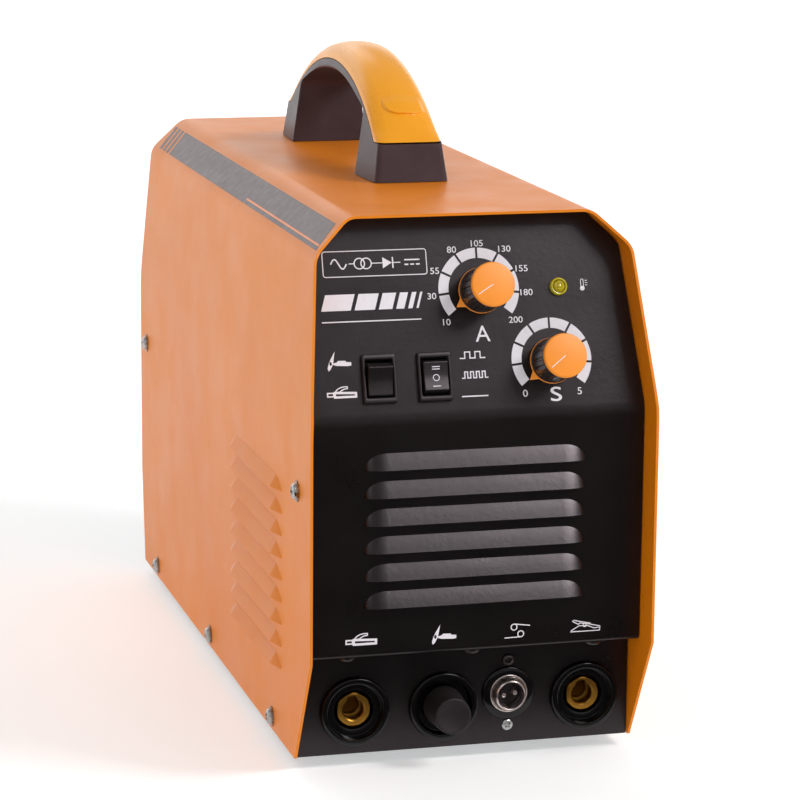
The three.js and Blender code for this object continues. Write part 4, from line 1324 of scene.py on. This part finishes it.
def bore_loop(radius, z, keyway=0.0):
    """A round loop, with a keyway on its upper side."""
    loop = []
    for k in range(BORE_SEGMENTS):
        angle = 2 * math.pi * k / BORE_SEGMENTS
        apart = abs((angle - math.radians(100) + math.pi) % (2 * math.pi) - math.pi)
        r = radius + keyway * (1 - smoothstep(apart, 0.3, 0.5))
        loop.append((*polar(r, angle), z))
    return loop


def make_insulator(name, profile, matrix, node):
    bm = lathe(profile, 96)
    piece(f"{name}_ring", bm, GLOSS_BLACK, matrix, [node], 40)


def make_weld_socket(side, at):
    matrix = on(SOCKETS, *at)
    make_insulator(f"{side}_socket", INSULATOR, matrix, f"{side}_socket_insulator")
    across = 14.6
    edge = ((8.1, -14), (8.1, -2.2), (7.75, -1.65), (7.35, -1.3), (6.9, -1.2))
    loops = [hexagon_loop(across, limit, z, turn=math.pi / 6) for limit, z in edge]
    loops += [bore_loop(5.3, -1.2, 1.0), bore_loop(4.9, -1.5, 1.4)]
    loops += [bore_loop(4.55, z, 1.7) for z in (-1.9, -6)]
    loops += [bore_loop(5.9, z) for z in (-6.3, -9.5)]
    loops += [bore_loop(4.55, z) for z in (-9.9, -21)]
    insert = skin(loops)
    piece(f"{side}_socket_brass", insert, BRASS, matrix, [f"{side}_socket_insert"], 32)


def thread(radius, depth, low, high, pitch):
    """Profile points of a thread, drawn as rings."""
    points = []
    for k in range(int((high - low) / pitch)):
        points += [(radius, low + k * pitch), (radius - depth, low + (k + 0.5) * pitch)]
    return points


def make_torch_connector():
    matrix = on(SOCKETS, *TORCH_SOCKET)
    inner = [(r - 0.8 if r < 9 else r, z) for r, z in INSULATOR]
    make_insulator("torch_socket", inner, matrix, "torch_connector_insulator")
    profile = [(0, -16), (7.8, -16), (7.8, -2.5), (6.6, -2), (6.6, 1.5)]
    profile += thread(7, 0.5, 2, 12.6, 1.25)
    profile += [(6.7, 12.8), (6.1, 13.7), (3.2, 14), (2.6, 13.4), (2.4, 6), (0, 5.5)]
    stud = lathe(profile, 72)
    piece("torch_stud_thread", stud, BRASS, matrix, ["torch_connector_stud"], 30)
    low, high = 1, 17.6
    cap = [(7.9, low), (8.9, low), (9.2, low + 0.3), (9.18, low + 0.9), (8.75, 7.5)]
    cap += [(8.2, high - 1)]
    for a in spread(0.4, 1.4, 3):
        cap.append((8.2 - 0.9 * (1 - math.cos(a)), high - 0.9 + 0.9 * math.sin(a)))
    cap += [(6.9, high - 0.05), (6.6, high - 0.3), (0, high - 0.3)]
    cap += [(0, 14.6), (7.3, 14.6), (7.5, 8), (7.9, low)]
    rubber = lathe(cap, 72)
    piece("torch_dust_cap", rubber, RUBBER, matrix, ["dust_cap"], 42, "dust_cap")


def make_trigger_socket():
    matrix = on(SOCKETS, *TRIGGER_SOCKET)
    profile = [(8.4, 0.15), (12, 0.15), (12, 0.7), (11.8, 1.1), (11.3, 1.35)]
    profile += [(8.4, 1.4), (8.4, 0.15)]
    seat = lathe(profile, 72)
    piece("trigger_seat", seat, GLOSS_BLACK, matrix, ["trigger_socket_seat"], 40)
    shell = [(6.1, 6), (6.25, 6.15), (6.5, 6.15), (6.85, 5.85), (7.2, 5.2), (7.5, 4.4), (7.75, 3.4)]
    shell += [(7.88, 2.8), (7.78, 2.65), (7.9, 2.5), (7.95, 1.5), (8, -6), (6.9, -6), (6.6, 0.5)]
    shell += [(6.1, 1), (6.1, 6)]
    piece("trigger_shell", lathe(shell, 96), CHROME, matrix, ["trigger_socket_shell"], 32)
    piece("trigger_nut", knurled_ring(8.1, 8.7, 1.45, 2.2), CHROME, matrix, (), 60)
    tilted = matrix @ Matrix.Rotation(math.radians(10), 4, "Z")
    face = [(0, -6), (6.5, -6), (6.5, 0.3), (6, 0.9), (5.2, 0.9), (5.1, 0.15), (0, 0.15)]
    parts = [(lathe(face, 72), Matrix()), (prism(rectangle(1.6, 1.3, 0, -5.6), 0.1, 5), Matrix())]
    collar = [(0.95, 0.1), (1.6, 0.1), (1.6, 0.9), (1.4, 1.1), (0.95, 1.1), (0.95, 0.1)]
    pin = [(0, -3), (1.1, -3), (1.1, 2.8), (0.98, 3.1), (0.62, 3.15), (0.5, 2.6), (0, 2.6)]
    pins = []
    for x in (-2.65, 2.65):
        parts.append((lathe(collar, 24), Matrix.Translation((x, 0, 0))))
        pins.append((lathe(pin, 24), Matrix.Translation((x, 0, 0))))
    insert = merged(parts)
    node = "trigger_socket_insert"
    piece("trigger_face", insert, BLACK_PLASTIC, tilted, [node], 40)
    piece("trigger_pins", merged(pins), CHROME, tilted, (), 40)


def knurled_ring(inner, outer, low, high):
    """A flat ring with a finely toothed rim."""
    teeth = 60
    rim = [(outer, 0.3, low), (outer, 0.3, high - 0.2), (outer - 0.3, 0, high)]
    loops = []
    for base, relief, z in [(inner, 0, low)] + rim + [(inner, 0, high)]:
        radii = [base - (relief if k % 2 else 0) for k in range(2 * teeth)]
        loops.append([(*polar(r, math.pi * k / teeth), z) for k, r in enumerate(radii)])
    return closed_skin(loops)


# ---- screws -----------------------------------------------------------------------------


def cross_recess(radius, depth, top):
    """Two crossed tapered blades that cut a cross into a screw head."""
    blades = []
    for turn in (0, math.pi / 2):
        low, high = rectangle(radius * 0.8, radius * 0.24), rectangle(radius * 1.6, radius * 0.42)
        loops = [[(x, y, top - depth) for x, y in low], [(x, y, top + 0.5) for x, y in high]]
        blade = skin(loops)
        blade.transform(Matrix.Rotation(turn, 4, "Z"))
        blades.append(blade)
    return blades


def screw_head(radius, height, washer=True):
    """A cross-recessed pan head with a toothed washer under it, as one mesh in millimetres."""
    seat = 0.55 if washer else 0
    profile = [(0, 0), (radius, 0), (radius, 0.25 * height)]
    for a in spread(0.25, 1.45, 6):
        profile.append((radius * math.cos(a) ** 0.7, height * (0.25 + 0.75 * math.sin(a) ** 0.9)))
    profile.append((0, height))
    head = lathe(profile, 40)
    head.transform(Matrix.Translation((0, 0, seat)))
    screw = new_object("screw", head)
    for blade in cross_recess(radius * 0.95, height * 0.6, seat + height):
        cut_with(screw, blade)
    bm = bmesh.new()
    bm.from_mesh(screw.data)
    bpy.data.objects.remove(screw)
    if washer:
        bm = joined([bm, toothed_washer(radius * 1.28)])
    result = bpy.data.meshes.new("screw")
    bm.to_mesh(result)
    bm.free()
    return result


def toothed_washer(radius, teeth=12):
    outline = []
    for k in range(teeth):
        for step, share in ((0, 0.84), (0.45, 0.84), (0.55, 1), (0.95, 1)):
            angle = 2 * math.pi * (k + step) / teeth
            outline.append(polar(radius * share, angle))
    low = [(x, y, 0.05 if math.hypot(x, y) < radius * 0.9 else 0.12) for x, y in outline]
    high = [(x, y, 0.5 if math.hypot(x, y) < radius * 0.9 else 0.6) for x, y in outline]
    return skin([low, high])


def make_screws(name, head, face, places, material=ZINC):
    """Copies of one screw at (x, y, turn) places on a face."""
    parts = []
    for x, y, turn in places:
        bm = bmesh.new()
        bm.from_mesh(head)
        parts.append((bm, Matrix.Translation((x, y, 0.02)) @ Matrix.Rotation(turn, 4, "Z")))
    piece(name, merged(parts), material, face)


def make_all_screws():
    cover_head = screw_head(3.6, 2.2)
    panel_head = screw_head(2.6, 1.2, False)
    places = [(24, 121.5), (374, 121.5), (73, 6), (210, 6), (347, 6)]
    left_places = [(-y, z, 0.5 * k) for k, (y, z) in enumerate(places)]
    make_screws("left_cover_screws", cover_head, LEFT, left_places)
    right_places = [(y, z, 0.4 * k + 0.2) for k, (y, z) in enumerate(places)]
    make_screws("right_cover_screws", cover_head, RIGHT, right_places)
    # The upper trigger screw sits in shadow under the ledge, so its zinc is darkened as painted
    # shade.
    make_screws("trigger_upper_screw", panel_head, SOCKETS, [(20, 38.1, 0.4)], SHADED_ZINC)
    make_screws("trigger_lower_screw", panel_head, SOCKETS, [(20, 8.1, 0.7)])
    places = [(-66, 12), (66, 12), (-66, 160), (66, 160), (0, 228)]
    rear_places = [(x, z, 0.7 * k) for k, (x, z) in enumerate(places)]
    make_screws("rear_panel_screws", cover_head, REAR, rear_places)
    fan_corner = 74.2 * math.cos(math.pi / 4)
    corners = []
    for sx in (-1, 1):
        for sz in (-1, 1):
            corners.append((sx * fan_corner, FAN_Z + sz * fan_corner, sx + sz * 0.3))
    make_screws("fan_screws", screw_head(3.4, 2, False), on(REAR, 0, 0, 2.4), corners)
    ledge = face_frame(place(0, 0, PANEL_LEDGE - 0.5), (1, 0, 0), (0, 1, 0))
    ledge = ledge @ Matrix.Rotation(math.pi, 4, "X")
    ledge_places = [(x, -22.5, 0.3 * x) for x in (-55.8, 0.8, 56.8)]
    # These screws sit in shadow under the ledge, so their zinc is darkened as painted shade.
    make_screws("ledge_screws", cover_head, ledge, ledge_places, SHADED_ZINC)


# ---- decals on the chamfers -------------------------------------------------------------


def make_band(side):
    """A plain grey film along the cover's shoulder, with a thin line and slanted bars behind."""
    (x2, z2), (x3, z3) = COVER_SECTION[2:]
    up = Vector((x3 - x2, z3 - z2)).normalized()
    name = "left" if side < 0 else "right"
    face = face_frame(place(side * x2, 0, z2), (0, side, 0), (side * up.x, 0, up.y))
    lower, upper, front, rear = 2.6, 17.2, 26, 352

    def film(points):
        outline = [(side * y, height) for y, height in points]
        return patch(outline if side > 0 else outline[::-1])

    parts = [film([(front, lower), (rear, lower), (rear + 9, upper), (front + 8, upper)])]
    for start in (rear + 3.5, rear + 12, rear + 20.5):
        ends = [(start, lower), (start + 5, lower), (start + 14, upper), (start + 9, upper)]
        parts.append(film(ends))
    piece(f"{name}_band", joined(parts), BAND, on(face, 0, 0, 0.02))
    ends = [(front + 1, lower + 2), (170, lower + 2), (171, lower + 3), (front + 2, lower + 3)]
    line = film(ends)
    piece(f"{name}_band_line", line, BAND_ORANGE, on(face, 0, 0, 0.09))


# ---- rear panel, fan and fittings -------------------------------------------------------


def cover_section_inside(inset):
    """Closed outline that fits inside the cover, in (x, z)."""
    right = [(panel_half_width(z) + 1.7 - inset, z) for z in (0, 150, 160, 190, 222, 225, 231)]
    top = COVER_TOP - inset
    corner = (panel_half_width(top) + 0.4, top)
    right += fillet((panel_half_width(231), 231), corner, (0, top), 4, 4)
    return [(-x, z) for x, z in right] + [(x, z) for x, z in reversed(right)]


def make_rear_panel():
    outline = [(-x, z) for x, z in cover_section_inside(SHEET + 0.5)]
    plate = prism(outline, -SHEET, 0)
    bevel_sharp(plate, 0.3, 60, 2)
    panel = piece("rear_panel_sheet", plate, PANEL_PAINT, REAR, ["rear_panel"], 40)
    holes = [
        prism(ring(55, 96, 0, FAN_Z), -4, 4),
        prism(rectangle(20.5, 28.2, *POWER_SWITCH), -4, 4),
        prism(ring(8.6, 48, *CABLE_GLAND), -4, 4),
        prism(ring(5.6, 48, *GAS_INLET), -4, 4),
    ]
    cut_shapes(panel, REAR, holes)
    return weighted(panel)


FAN = {"size": 119, "depth": 24, "bore": 57, "hub": 21, "tip": 54.5, "blades": 7}


def make_fan():
    matrix = on(REAR, 0, FAN_Z, -SHEET - 0.3)
    half, depth, bore = FAN["size"] / 2, FAN["depth"], FAN["bore"]
    count = 96
    angles = [2 * math.pi * (k + 0.5) / count for k in range(count)]

    def square(inset, z):
        """A square with its corners cut off."""
        size = half - inset
        loop = []
        for a in angles:
            u, v = abs(math.cos(a)), abs(math.sin(a))
            reach = min(size / max(u, v), (size * 2 - 6) / (u + v))
            loop.append((*polar(reach, a), z))
        return loop

    def hole(radius, z):
        return [(*polar(radius, a), z) for a in angles]

    rims = ((0.5, 0), (0, 0.5), (0, 4), (3, 4.5))
    loops = [square(inset, -depth + z) for inset, z in rims]
    loops += [square(3, -4.5), square(0, -4), square(0, -0.5), square(0.5, 0)]
    loops += [hole(bore + 1.2, 0), hole(bore, -1.2), hole(bore, -depth + 1), hole(bore + 1, -depth)]
    parts = [(closed_skin(loops), Matrix())]
    profile = [(0, 0), (19, 0), (19, 4.5), (18.5, 5), (0, 5)]
    hub = lathe([(r, -depth + z) for r, z in profile], 64)
    parts.append((hub, Matrix()))
    section = rectangle(4, 3, 0, 1.5 - depth)
    for k in range(3):
        strut = skin([[(x, y, z) for y, z in section] for x in (18, bore + 1)])
        parts.append((strut, Matrix.Rotation(2 * math.pi * k / 3 + math.pi / 2, 4, "Z")))
    piece("fan_housing", merged(parts), BLACK_PLASTIC, matrix, ["fan_frame"], 35)
    make_fan_rotor(matrix)
    make_fan_guard()


def make_fan_rotor(matrix):
    depth = FAN["depth"]
    hub = [(0, -depth + 6), (19, -depth + 6), (19, -4)]
    hub += [(FAN["hub"], -3.6), (FAN["hub"] + 0.01, -2.6)]
    hub += [(FAN["hub"] - 0.8, -2), (14, -1.9), (13.6, -2.3), (0, -2.3)]
    parts = [(lathe(hub, 72), Matrix())]
    for k in range(FAN["blades"]):
        parts.append((fan_blade(), Matrix.Rotation(2 * math.pi * k / FAN["blades"], 4, "Z")))
    body = "fan_rotor"
    piece("fan_impeller", merged(parts), BLACK_PLASTIC, matrix, [body], 40, body)


def fan_blade():
    """A swept, twisted and cambered blade."""
    rows = 9

    def point(i, j):
        share = i / (rows - 1)
        radius = FAN["hub"] - 2 + (FAN["tip"] - FAN["hub"] + 2) * share
        chord = (j / 8 - 0.5) * (25 - 3 * share)
        pitch = math.radians(42 - 14 * share)
        camber = 2.2 * (1 - (2 * j / 8 - 1) ** 2)
        across = chord * math.cos(pitch) + camber * math.sin(pitch) + 5 * share * share
        height = chord * math.sin(pitch) - camber * math.cos(pitch)
        return (*polar(radius, across / radius), -10.8 + height * 0.78)

    return thicken(grid(rows, 9, point), 1.5)


def make_fan_guard():
    wire = 0.9
    parts = []
    for radius in (12, 20, 28, 36, 44, 52):
        parts.append((tube([(x, y, 0) for x, y in ring(radius, 72)], wire, 10, True), Matrix()))
    for k in range(4):
        eyelet = tube([(x, y, -0.1) for x, y in ring(3.2, 24, 74.2, 0)], wire, 10, True)
        arm = tube([(12, 0, -1.2), (52, 0, -1.2), (60, 0, -0.6), (71, 0, -0.1)], wire, 10)
        turn = Matrix.Rotation(math.pi / 2 * k + math.pi / 4, 4, "Z")
        parts += [(eyelet, turn), (arm, turn.copy())]
    matrix = on(REAR, 0, FAN_Z, 1.4)
    piece("fan_finger_guard", merged(parts), CHROME, matrix, ["fan_guard"], 50)


def hex_nut(across, low, high, bore):
    """A hexagon nut with turned corners."""
    corner = across / math.sqrt(3)
    cut = corner * 0.07
    outside = ((corner - cut, low), (corner, low + cut), (corner, high - cut), (corner - cut, high))
    loops = [bore_loop(bore, low)] + [hexagon_loop(across, limit, z) for limit, z in outside]
    loops += [bore_loop(bore + 0.3, high), bore_loop(bore, high - 0.3)]
    return closed_skin(loops)


def make_rear_fittings():
    gland = on(REAR, *CABLE_GLAND)
    dome = [(4.6, 15), (4.6, -12), (8.1, -12), (8.1, 0), (9, 5.5)]
    dome += [(10.3, 6), (10.5, 6.6), (10.5, 10.5)]
    dome += [(10.1, 11.6), (9.2, 13.2), (8, 14.6), (7.2, 15), (4.9, 15), (4.6, 15)]
    ribs = []
    for k in range(24):
        rib = skin([[(10.3, -0.5, z), (10.3 + 0.5, 0, z), (10.3, 0.5, z)] for z in (6.4, 10.2)])
        ribs.append((rib, Matrix.Rotation(2 * math.pi * k / 24, 4, "Z")))
    body = merged([(lathe(dome, 72), Matrix()), (hex_nut(24, 0.3, 5.6, 8), Matrix())] + ribs)
    piece("gland_body", body, BLACK_PLASTIC, gland, ["cable_gland"], 35)
    inlet = [(2.2, 20), (2.2, -14), (5.2, -14), (5.2, 0), (4, 0.4), (4, 8)]
    for low in (8, 12):
        inlet += [(4, low), (4.8, low + 0.6), (4.75, low + 1.1), (3.8, low + 4)]
    inlet += [(3.8, 16), (4.6, 16.6), (4.5, 17.1), (3.2, 19.8), (2.9, 20), (2.2, 20)]
    brass = joined([lathe(inlet, 64), hex_nut(15, 0.3, 5, 4)])
    piece("gas_inlet_barb", brass, BRASS, on(REAR, *GAS_INLET), ["gas_inlet"], 35)
    bolt = [(0, -8), (2.6, -8), (2.6, 0)] + thread(3, 0.3, 0.4, 7, 0.6) + [(2.5, 7.3), (0, 7.5)]
    stud = joined([lathe(bolt, 48), hex_nut(10, 1.1, 4.6, 2.9), toothed_washer(6.4, 14)])
    piece("earth_bolt", stud, ZINC, on(REAR, *EARTH_STUD), ["earth_stud"], 35)


# ---- underside --------------------------------------------------------------------------


def make_feet():
    profile = [(0, -6), (2.6, -6), (2.6, -3), (4.6, -3), (4.6, -5.9), (5, -6), (7.7, -6)]
    profile += [(8.3, -5.7), (9.5, -1.5), (9.5, -0.6), (9.2, -0.3), (0, -0.3)]
    for end, y in (("front", 66), ("rear", 346)):
        for side, x in (("left", -54), ("right", 54)):
            name = f"foot_{end}_{side}"
            foot = lathe(profile, 64)
            matrix = MACHINE @ Matrix.Translation((x, y, 0))
            piece(f"{name}_rubber", foot, RUBBER, matrix, [name], 35)


# ---- finishes for the CAD nodes that stay visible ---------------------------------------


def finish_cad_nodes():
    finishes = {
        TRAY_ZINC: ["base_tray"],
        ZINC: ["current_shaft", "slope_shaft", "current_potentiometer", "slope_potentiometer"],
        ALUMINIUM: ["heatsink_left", "heatsink_right"],
        BLACK_PLASTIC: ["igbt_module_left", "igbt_module_right", "gas_valve_coil"],
        BOARD: ["main_board", "control_board"],
        SLEEVE: ["bulk_capacitor_1", "bulk_capacitor_2", "bulk_capacitor_3"],
        FERRITE: ["transformer_core"],
        WINDING: ["transformer_winding", "output_choke", "ignition_coil"],
        BRASS: ["gas_valve_body"],
        HOSE_RUBBER: ["gas_hose"],
    }
    for material, names in finishes.items():
        for name in names:
            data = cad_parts[name].data
            data.materials.clear()
            data.materials.append(material)


# ---- floor, lights and camera -----------------------------------------------------------


def floor_material():
    """Pale floor paper that glows faintly round the machine and at the back."""
    n = Nodes("pale_floor")
    tone = n.ramp(n.noise(6, 3), (0.3, rgb("f2f2f2")), (0.7, rgb("f7f7f7")))
    near = n.between(n.compute("ShaderNodeVectorMath", "LENGTH", n.where), 0.36, 0, 1.4, 3)
    back = n.between(n.add("ShaderNodeSeparateXYZ", Vector=n.where).outputs["Y"], 0, 0.66, 0.5, 2.4)
    glow = n.compute("ShaderNodeMath", "MAXIMUM", near, back)
    return n.finish(Base_Color=tone, Roughness=0.7, Emission_Color=WHITE, Emission_Strength=glow)


def make_floor():
    """A round pale floor that curves up all round into a backdrop, lit a little from the back."""
    flat, bend, segments = 3.4, 1.2, 64
    profile = [(0.5, 0), (flat, 0)]
    for a in spread(0.1, math.pi / 2, 12):
        profile.append((flat + bend * math.sin(a), bend - bend * math.cos(a)))
    profile.append((flat + bend, 1.9))

    def point(i, j):
        radius, height = profile[i]
        return (*polar(radius, 2 * math.pi * j / segments), height)

    bm = grid(len(profile), segments, point, closed_columns=True)
    bm.verts.ensure_lookup_table()
    bm.faces.new([bm.verts[j] for j in range(segments)])
    stage_object("floor", tidy(bm), floor_material())


def stage_object(name, bm, material):
    obj = new_object(name, bm)
    obj.data.shade_smooth()
    obj.data.materials.append(material)
    return obj


def make_black_card():
    """A studio flag in front of the machine: only gloss sees it, so black paint stays black."""
    n = Nodes("black_card")
    tone = n.ramp(n.noise(5), (0, rgb("050505")), (1, rgb("080808")))
    card = n.finish(Base_Color=tone, Roughness=0.9)
    corners = ((-1.6, -2.8), (2.2, -0.215))
    bm = grid(2, 2, lambda i, j: (corners[j][0], corners[i][1], 0.004))
    flag = stage_object("black_card", bm, card)
    flag.visible_camera = False
    flag.visible_diffuse = False
    flag.visible_shadow = False
    flag.visible_transmission = False


def area_light(name, at, target, width, height, power):
    light = bpy.data.lights.new(name, "AREA")
    light.shape = "RECTANGLE"
    light.size, light.size_y = width, height
    light.energy = power
    obj = bpy.data.objects.new(name, light)
    obj.location = at
    obj.rotation_euler = (Vector(target) - Vector(at)).to_track_quat("-Z", "Y").to_euler()
    bpy.context.scene.collection.objects.link(obj)
    return obj


LIGHT_AIM = (0, 0, 0.15)  # metres, as every light's place


def make_lights():
    world = bpy.data.worlds.new("studio")
    world.use_nodes = True
    background = world.node_tree.nodes["Background"]
    background.inputs["Color"].default_value = WHITE
    background.inputs["Strength"].default_value = 0.43
    bpy.context.scene.world = world
    area_light("left_softbox", (-1.02, -1.15, 1.44), LIGHT_AIM, 0.75, 0.75, 2.2)
    area_light("right_softbox", (1.17, -0.98, 1.44), LIGHT_AIM, 0.6, 0.6, 18)
    area_light("rear_softbox", (-0.4, 1.6, 1.3), (0, 0.1, 0.2), 1.6, 0.8, 6)
    sheen = area_light("front_card", (0.85, -1.35, 1.35), LIGHT_AIM, 0.6, 0.6, 16)
    sheen.visible_diffuse = False
    bpy.context.scene.view_settings.view_transform = "Standard"


CAMERA_AT = (-380.9, -1264.31, 436.54)  # machine millimetres
CAMERA_YAW, CAMERA_PITCH, CAMERA_ROLL = 0.2643, 0.2048, 0.0085
CAMERA_LENS = 142.7  # for a 36 mm wide sensor


def make_camera():
    yaw, pitch, roll = CAMERA_YAW, CAMERA_PITCH, CAMERA_ROLL
    across = math.cos(pitch)
    ahead = Vector((math.sin(yaw) * across, math.cos(yaw) * across, -math.sin(pitch)))
    level = Vector((math.cos(yaw), -math.sin(yaw), 0))
    upright = level.cross(ahead)
    right = level * math.cos(roll) + upright * math.sin(roll)
    up = upright * math.cos(roll) - level * math.sin(roll)
    data = bpy.data.cameras.new("photo_view")
    data.sensor_width = 36
    data.lens = CAMERA_LENS
    data.clip_start, data.clip_end = 0.05, 20
    camera = bpy.data.objects.new("photo_view", data)
    turn = Matrix((right, up, -ahead)).transposed().to_4x4()
    camera.matrix_world = Matrix.Translation(place(*CAMERA_AT)) @ turn
    bpy.context.scene.collection.objects.link(camera)
    bpy.context.scene.camera = camera


# ---- assembly ---------------------------------------------------------------------------


make_cover()
make_front_panel()
make_handle_cap()
make_handle_base()
make_knob("current", CURRENT_KNOB, 211)
make_knob("slope", SECONDS_KNOB, 217)
make_control_print()
make_vent_print()
make_switches()
make_lamp()
make_weld_socket("left", LEFT_SOCKET)
make_weld_socket("right", RIGHT_SOCKET)
make_torch_connector()
make_trigger_socket()
make_all_screws()
make_band(-1)
make_band(1)
make_rear_panel()
make_fan()
make_rear_fittings()
make_feet()
finish_cad_nodes()
make_floor()
make_black_card()
make_lights()
make_camera()
